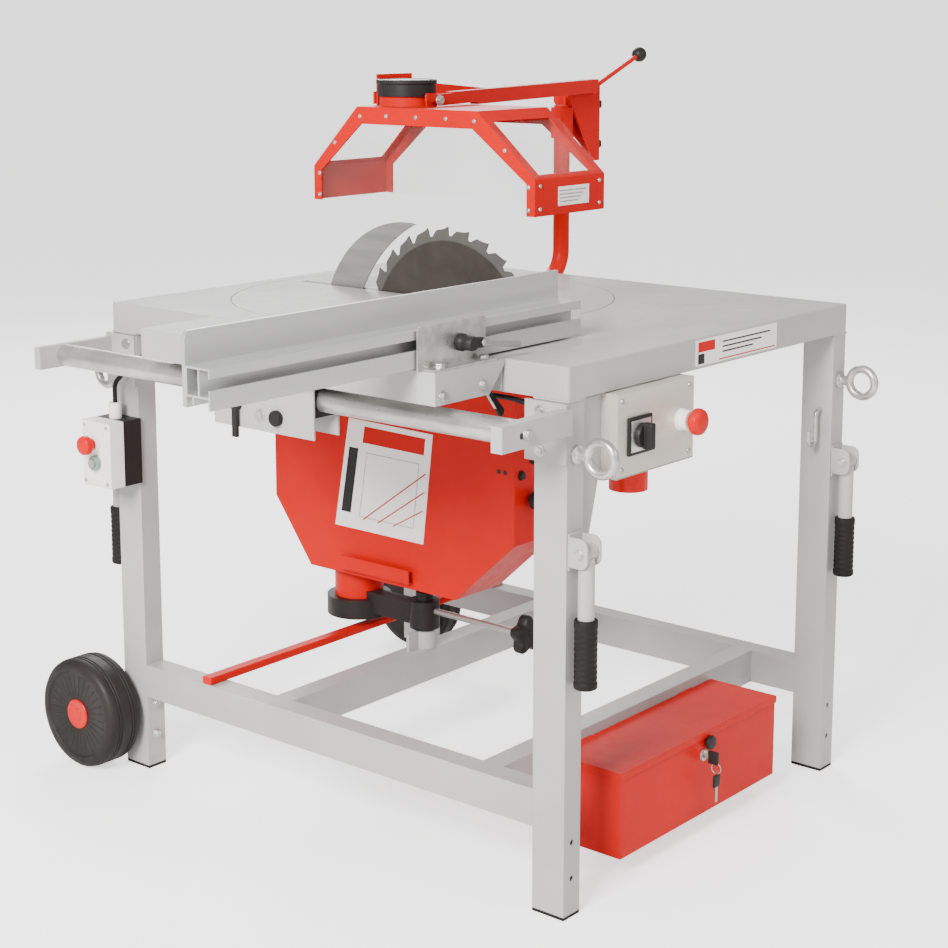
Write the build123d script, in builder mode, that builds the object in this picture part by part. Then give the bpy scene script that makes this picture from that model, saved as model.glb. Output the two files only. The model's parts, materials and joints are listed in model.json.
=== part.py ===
from build123d import *
from math import cos, pi, radians, sin
import os

os.makedirs("parts", exist_ok=True)

# ---------------------------------------------------------------- driving dimensions, mm
# Pieces are placed from the table's front left corner on the floor: x to the operator's
# right, y in the feed direction, z up. at() turns such a place into the frame's own
# coordinates, whose origin is under the middle of the whole machine.
LEFT = -277.0
FRONT = -534.5

TABLE_W = 810.0
TABLE_L = 1005.0
TABLE_H = 850.0
APRON = 50.0
SHEET = 4.0
TOP_SHEET = 6.0
SKIRT_Z = TABLE_H - APRON

LEG_X = 40.0
LEG_Y = 60.0
LEG_INSET = 1.5
LEG_WALL = 3.0
FOOT = 5.0
RAIL = (136.0, 196.0)
RAIL_FRONT_Y = (151.0, 191.0)
RAIL_MIDDLE_Y = (611.0, 651.0)

AXIS_X = 403.0
AXIS_Y = 630.0
DISC_R = 341.3
DISC_GAP = 1.7

BLADE_X = 412.0
BLADE_Y = 578.0
BLADE_Z = 778.0
BLADE_R = 200.0
TEETH = 26

HOUSE_X = (347.0, 470.0)
HOUSE_Y = (372.0, 955.0)
HOUSE_TOP = 835.0
HOUSE_BEND_Z = 444.0
HOUSE_BOTTOM = 322.0
HOUSE_BOTTOM_Y = (506.0, 864.0)
SPIGOT_Y = 803.0
SPIGOT_R = 46.0

MOTOR_Y = 600.0
MOTOR_Z = 622.0
MOTOR_R = 82.0
PLATE_X = (506.0, 514.0)
PULLEY_X = (478.0, 500.0)
ARBOR_PULLEY_R = 38.0
MOTOR_PULLEY_R = 42.0

HOOD_X = (315.0, 507.0)
HOOD_Y = (308.0, 812.0)
HOOD_TOP_Y = (432.0, 705.0)
HOOD_Z = (1020.0, 1081.0, 1189.0)
HOOD_SHEET = 2.5
HOOD_PIVOT = (400.0, 1200.0)
PORT = (400.0, 664.0)
ARM_PIVOT = (930.0, 1200.0)
POST = (880.0, 683.0)
POST_R = 16.0
POST_BEND = 60.0
POST_LOW = 827.0

TUBE_X = -105.0
TUBE_Z = 770.0
TUBE_R = 19.0
CARRIAGE_X = (-158.0, -2.0)
CARRIAGE_Y = (115.0, 742.0)
CARRIAGE_Z = (802.0, 850.0)
FENCE_X = (-555.0, 225.0)
FENCE_Y = (146.0, 197.0)
FENCE_Z = (853.6, 952.0)
FENCE_PLATE_Y = (140.0, 143.0)
FENCE_LEVER = (-76.0, 882.0)

BOX_X = (95.0, 297.0)
BOX_Y = (-20.0, 68.0)
BOX_Z = (670.0, 798.0)
REMOTE_Y = (938.0, 1012.0)
REMOTE_Z = (534.0, 650.0)
REMOTE_X = (-70.0, -38.0)

TOOLBOX_X = (167.0, 626.0)
TOOLBOX_Y = (15.0, 150.6)
TOOLBOX_Z = (37.0, 178.0)

WHEEL_R = 100.0
WHEEL_X = (-80.0, -8.0)
WHEEL_Y = 1045.0
AXLE_R = 10.0
RUN = 0.05
GAP = 0.3


# ---------------------------------------------------------------- helpers
def at(x, y, z):
    """A place given from the table's corner, in the frame's own coordinates."""
    return Vector(LEFT + x, FRONT + y, z)


def block(x, y, z, mode=Mode.ADD):
    """A box between the low and high values given for each axis."""
    middle = at((x[0] + x[1]) / 2, (y[0] + y[1]) / 2, (z[0] + z[1]) / 2)
    with Locations(middle):
        Box(x[1] - x[0], y[1] - y[0], z[1] - z[0], mode=mode)


def rod(start, end, radius, mode=Mode.ADD):
    """A round bar from one place to another."""
    low = at(*start)
    run = at(*end) - low
    with BuildSketch(Plane(low, z_dir=run)) as section:
        Circle(radius)
    extrude(section.sketch, amount=run.length, mode=mode)


def hexagon(start, end, radius, mode=Mode.ADD):
    """A hexagon bar, such as a bolt head or a nut."""
    low = at(*start)
    run = at(*end) - low
    with BuildSketch(Plane(low, z_dir=run)) as section:
        RegularPolygon(radius, 6)
    extrude(section.sketch, amount=run.length, mode=mode)


def ring(start, end, outer, inner):
    """A round tube from one place to another."""
    rod(start, end, outer)
    rod(start, end, inner, mode=Mode.SUBTRACT)


def side_plane(x):
    """A plane facing +X, whose own axes are y and z."""
    return Plane(at(x, 0, 0), x_dir=(0, 1, 0), z_dir=(1, 0, 0))


def front_plane(y):
    """A plane facing -Y, whose own axes are x and z."""
    return Plane(at(0, y, 0), x_dir=(1, 0, 0), z_dir=(0, -1, 0))


def prism(plane, points, amount, mode=Mode.ADD):
    """A straight-edged outline pulled along its plane's normal."""
    with BuildSketch(plane) as outline:
        with BuildLine():
            Polyline(*points, close=True)
        make_face()
    extrude(outline.sketch, amount=amount, mode=mode)


def swept(points, radii, radius, mode=Mode.ADD):
    """A round bar along straight runs joined by tangent arcs."""
    places = [at(*point) for point in points]
    with BuildLine() as path:
        FilletPolyline(*places, radius=radii)
    with BuildSketch(Plane(places[0], z_dir=places[1] - places[0])) as section:
        Circle(radius)
    sweep(section.sketch, path=path.line, mode=mode)


def mirrored_x(x):
    """The same distance in from the table's right edge."""
    return TABLE_W - x


def save(piece, name):
    """Label a finished piece and write it to its own file."""
    piece.part.label = name
    export_step(piece.part, "parts/" + name + ".step")


# ---------------------------------------------------------------- table and frame
LEDGE_R = (328.0, 352.0)
LEDGE_Z = (838.0, 844.7)
with BuildPart() as table_top:
    block((0, TABLE_W), (0, TABLE_L), (SKIRT_Z, TABLE_H))
    fillet(table_top.edges().filter_by(Axis.Z), radius=6)
    fillet(table_top.faces().sort_by(Axis.Z)[-1].edges(), radius=2.5)
    inside_x = (SHEET, TABLE_W - SHEET)
    inside_y = (SHEET, TABLE_L - SHEET)
    block(inside_x, inside_y, (SKIRT_Z, TABLE_H - TOP_SHEET), mode=Mode.SUBTRACT)
    rod((AXIS_X, AXIS_Y, LEDGE_Z[0]), (AXIS_X, AXIS_Y, LEDGE_Z[1]), LEDGE_R[1])
    rod((AXIS_X, AXIS_Y, LEDGE_Z[1]), (AXIS_X, AXIS_Y, TABLE_H + 1), DISC_R + DISC_GAP, mode=Mode.SUBTRACT)
    rod((AXIS_X, AXIS_Y, LEDGE_Z[0] - 1), (AXIS_X, AXIS_Y, TABLE_H), LEDGE_R[0], mode=Mode.SUBTRACT)
save(table_top, "table_top")

leg_corners = []
for leg_x in (LEG_INSET, TABLE_W - LEG_INSET - LEG_X):
    for leg_y in (LEG_INSET, TABLE_L - LEG_INSET - LEG_Y):
        leg_corners.append((leg_x, leg_y))
HOLE_Z = (62.0, 120.0)
HOLE_R = 4.5

with BuildPart() as legs:
    for leg_x, leg_y in leg_corners:
        block((leg_x, leg_x + LEG_X), (leg_y, leg_y + LEG_Y), (FOOT, SKIRT_Z))
        wall_x = (leg_x + LEG_WALL, leg_x + LEG_X - LEG_WALL)
        wall_y = (leg_y + LEG_WALL, leg_y + LEG_Y - LEG_WALL)
        block(wall_x, wall_y, (FOOT, SKIRT_Z), mode=Mode.SUBTRACT)
        for hole_z in HOLE_Z:
            middle = leg_x + LEG_X / 2
            rod((middle, leg_y - 1, hole_z), (middle, leg_y + 5, hole_z), HOLE_R, mode=Mode.SUBTRACT)
    box_plate = [(LEG_INSET + LEG_X, 796), (BOX_X[0], 796), (BOX_X[0], 690), (60, 560), (LEG_INSET + LEG_X, 560)]
    prism(front_plane(14), box_plate, 4)
save(legs, "legs")

with BuildPart() as leg_feet:
    for leg_x, leg_y in leg_corners:
        block((leg_x, leg_x + LEG_X), (leg_y, leg_y + LEG_Y), (0, FOOT))
        plug_x = (leg_x + LEG_WALL, leg_x + LEG_X - LEG_WALL)
        plug_y = (leg_y + LEG_WALL, leg_y + LEG_Y - LEG_WALL)
        block(plug_x, plug_y, (FOOT, FOOT + 18))
save(leg_feet, "leg_feet")

with BuildPart() as rails:
    for rail_x in (LEG_INSET, TABLE_W - LEG_INSET - LEG_X):
        ends = (LEG_INSET + LEG_Y, TABLE_L - LEG_INSET - LEG_Y)
        block((rail_x, rail_x + LEG_X), ends, RAIL)
        hollow_x = (rail_x + LEG_WALL, rail_x + LEG_X - LEG_WALL)
        hollow_z = (RAIL[0] + LEG_WALL, RAIL[1] - LEG_WALL)
        block(hollow_x, ends, hollow_z, mode=Mode.SUBTRACT)
    for rail_y in (RAIL_FRONT_Y, RAIL_MIDDLE_Y):
        ends = (LEG_INSET + LEG_X, TABLE_W - LEG_INSET - LEG_X)
        block(ends, rail_y, RAIL)
        hollow_y = (rail_y[0] + LEG_WALL, rail_y[1] - LEG_WALL)
        hollow_z = (RAIL[0] + LEG_WALL, RAIL[1] - LEG_WALL)
        block(ends, hollow_y, hollow_z, mode=Mode.SUBTRACT)
save(rails, "rails")

with BuildPart() as tie_bar:
    block((LEG_INSET, TABLE_W - LEG_INSET), (772, 794), (RAIL[1], RAIL[1] + 14))
    fillet(tie_bar.edges().filter_by(Axis.X), radius=3)
save(tie_bar, "tie_bar")

COLUMN_R = 16.0
COLUMN_TOP = 304.0
SOCKET_TOP = 230.0
with BuildPart() as column_socket:
    ring((AXIS_X, AXIS_Y, RAIL[1]), (AXIS_X, AXIS_Y, SOCKET_TOP), COLUMN_R + 5, COLUMN_R)
    block((AXIS_X - 47, AXIS_X - 19), (AXIS_Y - 3, AXIS_Y + 3), (RAIL[1], SOCKET_TOP))
save(column_socket, "column_socket")

with BuildPart() as swivel_column:
    rod((AXIS_X, AXIS_Y, RAIL[1]), (AXIS_X, AXIS_Y, COLUMN_TOP), COLUMN_R)
    chamfer(swivel_column.edges().group_by(Axis.Z)[-1], length=2)
save(swivel_column, "swivel_column")

# ---------------------------------------------------------------- turntable and saw unit
SLOT_X = (404.0, 420.0)
with BuildPart() as turntable_disc:
    rod((AXIS_X, AXIS_Y, 845), (AXIS_X, AXIS_Y, TABLE_H), DISC_R)
    block(SLOT_X, (376, 936), (840, 855), mode=Mode.SUBTRACT)
save(turntable_disc, "turntable_disc")


def house_outline(inset):
    """The blade housing's side outline, moved inward by a wall thickness."""
    corner = inset * 0.41
    return [
        (HOUSE_Y[0] + inset, HOUSE_TOP),
        (HOUSE_Y[0] + inset, HOUSE_BEND_Z + corner),
        (HOUSE_BOTTOM_Y[0] + corner, HOUSE_BOTTOM + inset),
        (HOUSE_BOTTOM_Y[1] - corner, HOUSE_BOTTOM + inset),
        (HOUSE_Y[1] - inset, HOUSE_BEND_Z + corner),
        (HOUSE_Y[1] - inset, HOUSE_TOP),
    ]


HOUSE_SHEET = 3.0
GUIDE_Y = (480.0, 690.0)
KNOB_X = 388.0
KNOB_Z = 520.0
with BuildPart() as blade_housing:
    prism(side_plane(HOUSE_X[0]), house_outline(0), HOUSE_X[1] - HOUSE_X[0])
    prism(side_plane(HOUSE_X[0]), house_outline(HOUSE_SHEET), HOUSE_X[1] - HOUSE_X[0] - HOUSE_SHEET,
          mode=Mode.SUBTRACT)
    block((HOUSE_X[1] - 5, HOUSE_X[1] + 5), (484, 650), (560, HOUSE_TOP + 1), mode=Mode.SUBTRACT)
    for hanger_x in ((HOUSE_X[0], HOUSE_X[0] + 22), (HOUSE_X[1] - 22, HOUSE_X[1])):
        for hanger_y in ((HOUSE_Y[0], HOUSE_Y[0] + 40), (HOUSE_Y[1] - 50, HOUSE_Y[1] - 15)):
            block(hanger_x, hanger_y, (HOUSE_TOP - 3, 845))
    for guide_y in ((GUIDE_Y[0] - 12, GUIDE_Y[0] - GAP), (GUIDE_Y[1] + GAP, GUIDE_Y[1] + 12)):
        block((HOUSE_X[1], PLATE_X[1]), guide_y, (430, HOUSE_TOP))
    rod((BLADE_X, SPIGOT_Y, HOUSE_BOTTOM), (BLADE_X, SPIGOT_Y, 234), SPIGOT_R)
    rod((BLADE_X, SPIGOT_Y, HOUSE_BOTTOM + 5), (BLADE_X, SPIGOT_Y, 233), SPIGOT_R - 2.5, mode=Mode.SUBTRACT)
    rod((KNOB_X, HOUSE_Y[0] - 1, KNOB_Z), (KNOB_X, HOUSE_Y[0] + 8, KNOB_Z), 5 + RUN, mode=Mode.SUBTRACT)
save(blade_housing, "blade_housing")

LIP_Y = (605.0, 775.0)
LIP_Z = (334.0, 360.0)
with BuildPart() as housing_cover:
    prism(side_plane(HOUSE_X[0] - 2.5), house_outline(0), 2.5)
    block((331, 344.5), LIP_Y, LIP_Z)
    block((333.5, 344.5), LIP_Y, (LIP_Z[0] + 2.5, LIP_Z[1] + 1), mode=Mode.SUBTRACT)
save(housing_cover, "housing_cover")

CLAMP_Z = (234.0, 286.0)
ROD_Z = 268.0
CLAMP_RING_R = 61.0
with BuildPart() as column_clamp:
    rod((AXIS_X, AXIS_Y, CLAMP_Z[0]), (AXIS_X, AXIS_Y, CLAMP_Z[1]), 28)
    block((AXIS_X - 14, AXIS_X + 16), (AXIS_Y, SPIGOT_Y - 40), (238, 278))
    rod((BLADE_X, SPIGOT_Y, 228), (BLADE_X, SPIGOT_Y, 264), CLAMP_RING_R)
    rod((BLADE_X, SPIGOT_Y, 220), (BLADE_X, SPIGOT_Y, 290), SPIGOT_R + 0.2, mode=Mode.SUBTRACT)
    rod((AXIS_X, AXIS_Y, CLAMP_Z[0] - 1), (AXIS_X, AXIS_Y, CLAMP_Z[1] + 1), COLUMN_R + RUN, mode=Mode.SUBTRACT)
    rod((AXIS_X, AXIS_Y - 40, ROD_Z), (AXIS_X, AXIS_Y - COLUMN_R + 2, ROD_Z), 6 + RUN, mode=Mode.SUBTRACT)
save(column_clamp, "column_clamp")

STAR_R = 36.0
with BuildPart() as clamp_knob:
    rod((AXIS_X, AXIS_Y - COLUMN_R - 1, ROD_Z), (AXIS_X, 404, ROD_Z), 6)
    rod((AXIS_X, 404, ROD_Z), (AXIS_X, 380, ROD_Z), STAR_R - 10)
    for lobe in range(5):
        turn = radians(90 + 72 * lobe)
        lobe_x = AXIS_X + 24 * cos(turn)
        lobe_z = ROD_Z + 24 * sin(turn)
        rod((lobe_x, 404, lobe_z), (lobe_x, 380, lobe_z), 12)
save(clamp_knob, "clamp_knob")

with BuildPart() as lift_knob:
    rod((KNOB_X, 340, KNOB_Z), (KNOB_X, 362, KNOB_Z), 16)
    rod((KNOB_X, 362, KNOB_Z), (KNOB_X, 384, KNOB_Z), 5)
save(lift_knob, "lift_knob")

ARBOR_R = 12.5
BLOCK_R = 38.0
with BuildPart() as lift_plate:
    block(PLATE_X, GUIDE_Y, (540, 828))
    block((432, PLATE_X[0]), (GUIDE_Y[0] + 10, 522), (735, 800))
    block((432, 466), (GUIDE_Y[0] + 10, BLADE_Y), (745, 800))
    rod((426, BLADE_Y, BLADE_Z), (466, BLADE_Y, BLADE_Z), BLOCK_R)
    block((430, 444), (BLADE_Y, 868), (738, 766))
    block((413.5, 430), (812, 868), (738, 766))
    rod((400, BLADE_Y, BLADE_Z), (PLATE_X[1] + 1, BLADE_Y, BLADE_Z), ARBOR_R + RUN, mode=Mode.SUBTRACT)
    rod((PLATE_X[0] - 1, MOTOR_Y, MOTOR_Z), (PLATE_X[1] + 1, MOTOR_Y, MOTOR_Z), 20, mode=Mode.SUBTRACT)
save(lift_plate, "lift_plate")

MOTOR_X = (514.0, 735.0)
SHAFT_R = 14.0
with BuildPart() as motor:
    rod((MOTOR_X[0], MOTOR_Y, MOTOR_Z), (MOTOR_X[1], MOTOR_Y, MOTOR_Z), MOTOR_R)
    for fin in range(24):
        with Locations(Location(at(615, MOTOR_Y, MOTOR_Z), (360 * fin / 24, 0, 0))):
            with Locations((0, 0, MOTOR_R)):
                Box(130, 3, 12)
    block((575, 655), (MOTOR_Y - 40, MOTOR_Y + 40), (MOTOR_Z + 70, MOTOR_Z + 118))
    rod((MOTOR_X[0] + 8, MOTOR_Y, MOTOR_Z), (MOTOR_X[1] - 10, MOTOR_Y, MOTOR_Z), MOTOR_R - 8, mode=Mode.SUBTRACT)
    rod((MOTOR_X[0] - 1, MOTOR_Y, MOTOR_Z), (MOTOR_X[1] - 4, MOTOR_Y, MOTOR_Z), SHAFT_R + RUN, mode=Mode.SUBTRACT)
save(motor, "motor")

with BuildPart() as motor_rotor:
    rod((PULLEY_X[0] - 3, MOTOR_Y, MOTOR_Z), (MOTOR_X[1] - 6, MOTOR_Y, MOTOR_Z), SHAFT_R)
    rod((555, MOTOR_Y, MOTOR_Z), (690, MOTOR_Y, MOTOR_Z), 56)
    rod((PULLEY_X[0], MOTOR_Y, MOTOR_Z), (PULLEY_X[1], MOTOR_Y, MOTOR_Z), MOTOR_PULLEY_R)
save(motor_rotor, "motor_rotor")

BELT = 7.0
with BuildPart() as drive_belt:
    for growth, mode in ((BELT + GAP, Mode.ADD), (GAP, Mode.SUBTRACT)):
        with BuildSketch(side_plane(PULLEY_X[0] + 1)) as loop:
            with Locations((BLADE_Y, BLADE_Z)):
                Circle(ARBOR_PULLEY_R + growth)
            with Locations((MOTOR_Y, MOTOR_Z)):
                Circle(MOTOR_PULLEY_R + growth)
            make_hull()
        extrude(loop.sketch, amount=20, mode=mode)
save(drive_belt, "drive_belt")

FLANGE_R = 45.0
BODY_X = (BLADE_X - 1.3, BLADE_X + 1.3)
with BuildPart() as blade_arbor:
    rod((392, BLADE_Y, BLADE_Z), (BODY_X[0], BLADE_Y, BLADE_Z), ARBOR_R)
    rod((BODY_X[0] - 7, BLADE_Y, BLADE_Z), (BODY_X[0], BLADE_Y, BLADE_Z), FLANGE_R)
    hexagon((395, BLADE_Y, BLADE_Z), (BODY_X[0] - 7, BLADE_Y, BLADE_Z), 21)
    rod((BODY_X[0], BLADE_Y, BLADE_Z), (BODY_X[1], BLADE_Y, BLADE_Z), 15)
    rod((BODY_X[1], BLADE_Y, BLADE_Z), (424, BLADE_Y, BLADE_Z), FLANGE_R)
    rod((424, BLADE_Y, BLADE_Z), (PULLEY_X[1] + 4, BLADE_Y, BLADE_Z), ARBOR_R)
    rod((PULLEY_X[0], BLADE_Y, BLADE_Z), (PULLEY_X[1], BLADE_Y, BLADE_Z), ARBOR_PULLEY_R)
save(blade_arbor, "blade_arbor")


def tooth_points():
    """The saw blade's rim: a tip, its face, a gullet, then a long low back per tooth."""
    pitch = 2 * pi / TEETH
    shape = ((0.0, 0.0), (0.02, -15.0), (0.16, -17.0), (0.30, -11.0), (0.42, -6.0), (0.80, -4.0))
    points = []
    for tooth in range(TEETH):
        for share, depth in shape:
            turn = pi / 2 - (tooth + share) * pitch
            reach = BLADE_R + depth
            points.append((BLADE_Y - reach * cos(turn), BLADE_Z + reach * sin(turn)))
    return points


with BuildPart() as saw_blade:
    prism(side_plane(BODY_X[0]), tooth_points(), BODY_X[1] - BODY_X[0])
    rod((BODY_X[0] - 1, BLADE_Y, BLADE_Z), (BODY_X[1] + 1, BLADE_Y, BLADE_Z), 15, mode=Mode.SUBTRACT)
save(saw_blade, "saw_blade")

with BuildPart() as riving_knife:
    with BuildSketch(side_plane(410.5)) as knife_outline:
        with BuildLine():
            Line((802, 738), (868, 738))
            Line((868, 738), (880, 800))
            ThreePointArc((880, 800), (822, 918), (652, 978))
            ThreePointArc((652, 978), (760, 890), (802, 800))
            Line((802, 800), (802, 738))
        make_face()
    extrude(amount=3)
save(riving_knife, "riving_knife")


# ---------------------------------------------------------------- hood
def hood_outline(inset):
    """The hood's side outline, open below, moved inward by a sheet thickness."""
    return [
        (HOOD_Y[0] + inset, HOOD_Z[0]),
        (HOOD_Y[0] + inset, HOOD_Z[1] - inset * 0.4),
        (HOOD_TOP_Y[0] + inset * 0.4, HOOD_Z[2] - inset),
        (HOOD_TOP_Y[1] - inset * 0.4, HOOD_Z[2] - inset),
        (HOOD_Y[1] - inset, HOOD_Z[1] - inset * 0.4),
        (HOOD_Y[1] - inset, HOOD_Z[0]),
    ]


BAND = 26.0
LUG_X = (388.0, 480.0)
with BuildPart() as hood_frame:
    prism(side_plane(HOOD_X[0]), hood_outline(0), HOOD_X[1] - HOOD_X[0])
    prism(side_plane(HOOD_X[0] + HOOD_SHEET), [(y, z - 0.01) for y, z in hood_outline(HOOD_SHEET)],
          HOOD_X[1] - HOOD_X[0] - 2 * HOOD_SHEET, mode=Mode.SUBTRACT)
    side_window = [
        (HOOD_Y[0] + 18, HOOD_Z[0] - 5),
        (HOOD_Y[0] + 18, HOOD_Z[1] - 8),
        (HOOD_TOP_Y[0] + 10, HOOD_Z[2] - BAND - 4),
        (HOOD_TOP_Y[1] - 10, HOOD_Z[2] - BAND - 4),
        (HOOD_Y[1] - 18, HOOD_Z[1] - 8),
        (HOOD_Y[1] - 18, HOOD_Z[0] - 5),
    ]
    prism(side_plane(HOOD_X[0] - 1), side_window, HOOD_X[1] - HOOD_X[0] + 2, mode=Mode.SUBTRACT)
    for foot_y, head_y in ((HOOD_Y[0], HOOD_TOP_Y[0]), (HOOD_Y[1], HOOD_TOP_Y[1])):
        inward = 1 if head_y > foot_y else -1
        run = head_y - foot_y
        rise = HOOD_Z[2] - HOOD_Z[1]
        cut = [
            (foot_y + 0.06 * run - inward * 30, HOOD_Z[1] + 0.06 * rise),
            (foot_y + 0.06 * run + inward * 30, HOOD_Z[1] + 0.06 * rise),
            (foot_y + 0.84 * run + inward * 8, HOOD_Z[1] + 0.84 * rise),
            (foot_y + 0.84 * run - inward * 30, HOOD_Z[1] + 0.84 * rise),
        ]
        prism(side_plane(HOOD_X[0] + 20), cut, HOOD_X[1] - HOOD_X[0] - 40, mode=Mode.SUBTRACT)
    rod((PORT[0], PORT[1], HOOD_Z[2] - 4), (PORT[0], PORT[1], 1206), 48)
    rod((PORT[0], PORT[1], HOOD_Z[2] - 10), (PORT[0], PORT[1], 1207), 45, mode=Mode.SUBTRACT)
    block((HOOD_PIVOT[0] - 14, HOOD_PIVOT[0] + 14), (604.3, 607.3), (HOOD_Z[2] - 1, 1212))
    block(LUG_X, (722, 726), (1166, 1243))
    rod((HOOD_PIVOT[0], 600, HOOD_PIVOT[1]), (HOOD_PIVOT[0], 610, HOOD_PIVOT[1]), 5, mode=Mode.SUBTRACT)
    rod((HOOD_PIVOT[0], 720, HOOD_PIVOT[1]), (HOOD_PIVOT[0], 730, HOOD_PIVOT[1]), 5, mode=Mode.SUBTRACT)
save(hood_frame, "hood_frame")

PANE = 3.0
with BuildPart() as hood_panes:
    pane_outline = [(y, z) for y, z in hood_outline(HOOD_SHEET + 0.4)]
    for pane_x in (HOOD_X[0] + HOOD_SHEET, HOOD_X[1] - HOOD_SHEET - PANE):
        prism(side_plane(pane_x), pane_outline, PANE)
    for foot_y, head_y in ((HOOD_Y[0], HOOD_TOP_Y[0]), (HOOD_Y[1], HOOD_TOP_Y[1])):
        run = head_y - foot_y
        rise = HOOD_Z[2] - HOOD_Z[1]
        slope = (run ** 2 + rise ** 2) ** 0.5
        out_y = -rise / slope if run > 0 else rise / slope
        out_z = abs(run) / slope
        low = (foot_y + 0.02 * run, HOOD_Z[1] + 0.02 * rise)
        high = (foot_y + 0.80 * run, HOOD_Z[1] + 0.80 * rise)
        window = [low, high, (high[0] + out_y * PANE, high[1] + out_z * PANE)]
        window.append((low[0] + out_y * PANE, low[1] + out_z * PANE))
        prism(side_plane(HOOD_X[0]), window, HOOD_X[1] - HOOD_X[0])
save(hood_panes, "hood_panes")

with BuildPart() as dust_cap:
    rod((PORT[0], PORT[1], 1206), (PORT[0], PORT[1], 1235), 54)
    rod((PORT[0], PORT[1], 1205), (PORT[0], PORT[1], 1231), 49, mode=Mode.SUBTRACT)
save(dust_cap, "dust_cap")

ARM_START = (362.0, 588.0, 1199.0)
ARM_END = (945.0, 646.0, 1209.0)
BALL = (1094.0, 650.0, 1268.0)
BALL_R = 15.0
with BuildPart() as hood_arms:
    start = at(*ARM_START)
    run = at(*ARM_END) - start
    length = run.length
    arm = Plane(start, x_dir=run, z_dir=run.cross(Vector(0, 0, 1)))
    for low_x, high_x, low_y, high_y, low_z, high_z in (
            (0, 44, 0, 11, 0, 4), (41, length, -9, 11, 0, 4), (84, length, 7, 13, -14, 4),
            (160, length, -13, -9, -14, 4)):
        with Locations(arm.offset((low_z + high_z) / 2)):
            with Locations(((low_x + high_x) / 2, (low_y + high_y) / 2)):
                Box(high_x - low_x, high_y - low_y, high_z - low_z)
    far = [(HOOD_PIVOT[0] - 14, 1190), (ARM_PIVOT[0] + 12, 1190), (ARM_PIVOT[0] + 12, 1208)]
    far += [(705, 1209), (470, 1230), (HOOD_PIVOT[0] - 14, 1212)]
    prism(front_plane(732), far, 5)
    rod((HOOD_PIVOT[0], 583, HOOD_PIVOT[1]), (HOOD_PIVOT[0], 607, HOOD_PIVOT[1]), 5 - RUN)
    rod((HOOD_PIVOT[0], 723, HOOD_PIVOT[1]), (HOOD_PIVOT[0], 736, HOOD_PIVOT[1]), 5 - RUN)
    rod((ARM_PIVOT[0], 640, ARM_PIVOT[1]), (ARM_PIVOT[0], 736, ARM_PIVOT[1]), 7)
    rod((940, 648, 1207), BALL, 4.5)
    with Locations(at(*BALL)):
        Sphere(BALL_R, mode=Mode.SUBTRACT)
save(hood_arms, "hood_arms")

with BuildPart() as lever_ball:
    with Locations(at(*BALL)):
        Sphere(BALL_R)
save(lever_ball, "lever_ball")

BRACKET_X = (872.0, 977.0)
BRACKET_Z = (1060.0, 1216.0)
with BuildPart() as hood_bracket:
    flange = [(BRACKET_X[0], 1216), (BRACKET_X[1], 1216), (BRACKET_X[1], BRACKET_Z[0])]
    flange += [(BRACKET_X[1] - 16, BRACKET_Z[0]), (BRACKET_X[0], 1188)]
    prism(front_plane(667), flange, 5)
    web = [(662, 1216), (775, 1188), (775, 1174), (722, 1104), (676, BRACKET_Z[0]), (662, BRACKET_Z[0])]
    prism(side_plane(BRACKET_X[1] - 5), web, 5)
    for bolt_z in (1092, 1171):
        hexagon((BRACKET_X[1], 676, bolt_z), (BRACKET_X[1] + 13, 676, bolt_z), 10)
    rod((POST[0], POST[1], 1108), (POST[0], POST[1], 1168), POST_R + 6)
    block((POST[0], BRACKET_X[1] - 4), (POST[1] - 3, POST[1] + 3), (1108, 1168))
    block((ARM_PIVOT[0] - 14, BRACKET_X[1] - 4), (702, 708), (1140, 1214))
    rod((POST[0], POST[1], 1107), (POST[0], POST[1], 1169), POST_R + RUN, mode=Mode.SUBTRACT)
    rod((ARM_PIVOT[0], 655, ARM_PIVOT[1]), (ARM_PIVOT[0], 710, ARM_PIVOT[1]), 7 + RUN, mode=Mode.SUBTRACT)
save(hood_bracket, "hood_bracket")

with BuildPart() as hood_post:
    bend = [(TABLE_W, POST[1], POST_LOW), (POST[0], POST[1], POST_LOW), (POST[0], POST[1], 1172)]
    swept(bend, [POST_BEND], POST_R)
    block((TABLE_W, TABLE_W + 6), (POST[1] - 38, POST[1] + 38), (SKIRT_Z + 3, TABLE_H - 2))
save(hood_post, "hood_post")

# ---------------------------------------------------------------- crosscut carriage and fence
ARM_Z = (751.0, 789.0)
GUIDE_ENDS = ((-8.0, 12.0), (1003.0, 1018.0))
GUIDE_PLATES = ((0.0, 76.0), (944.0, 1018.0))
with BuildPart() as guide_brackets:
    for ends, plate in zip(GUIDE_ENDS, GUIDE_PLATES):
        block((-160, LEG_INSET), ends, ARM_Z)
        block((-4, LEG_INSET), plate, (706, 796))
save(guide_brackets, "guide_brackets")

with BuildPart() as guide_tube:
    ring((TUBE_X, GUIDE_ENDS[0][1], TUBE_Z), (TUBE_X, GUIDE_ENDS[1][0], TUBE_Z), TUBE_R, TUBE_R - 3)
save(guide_tube, "guide_tube")

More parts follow.
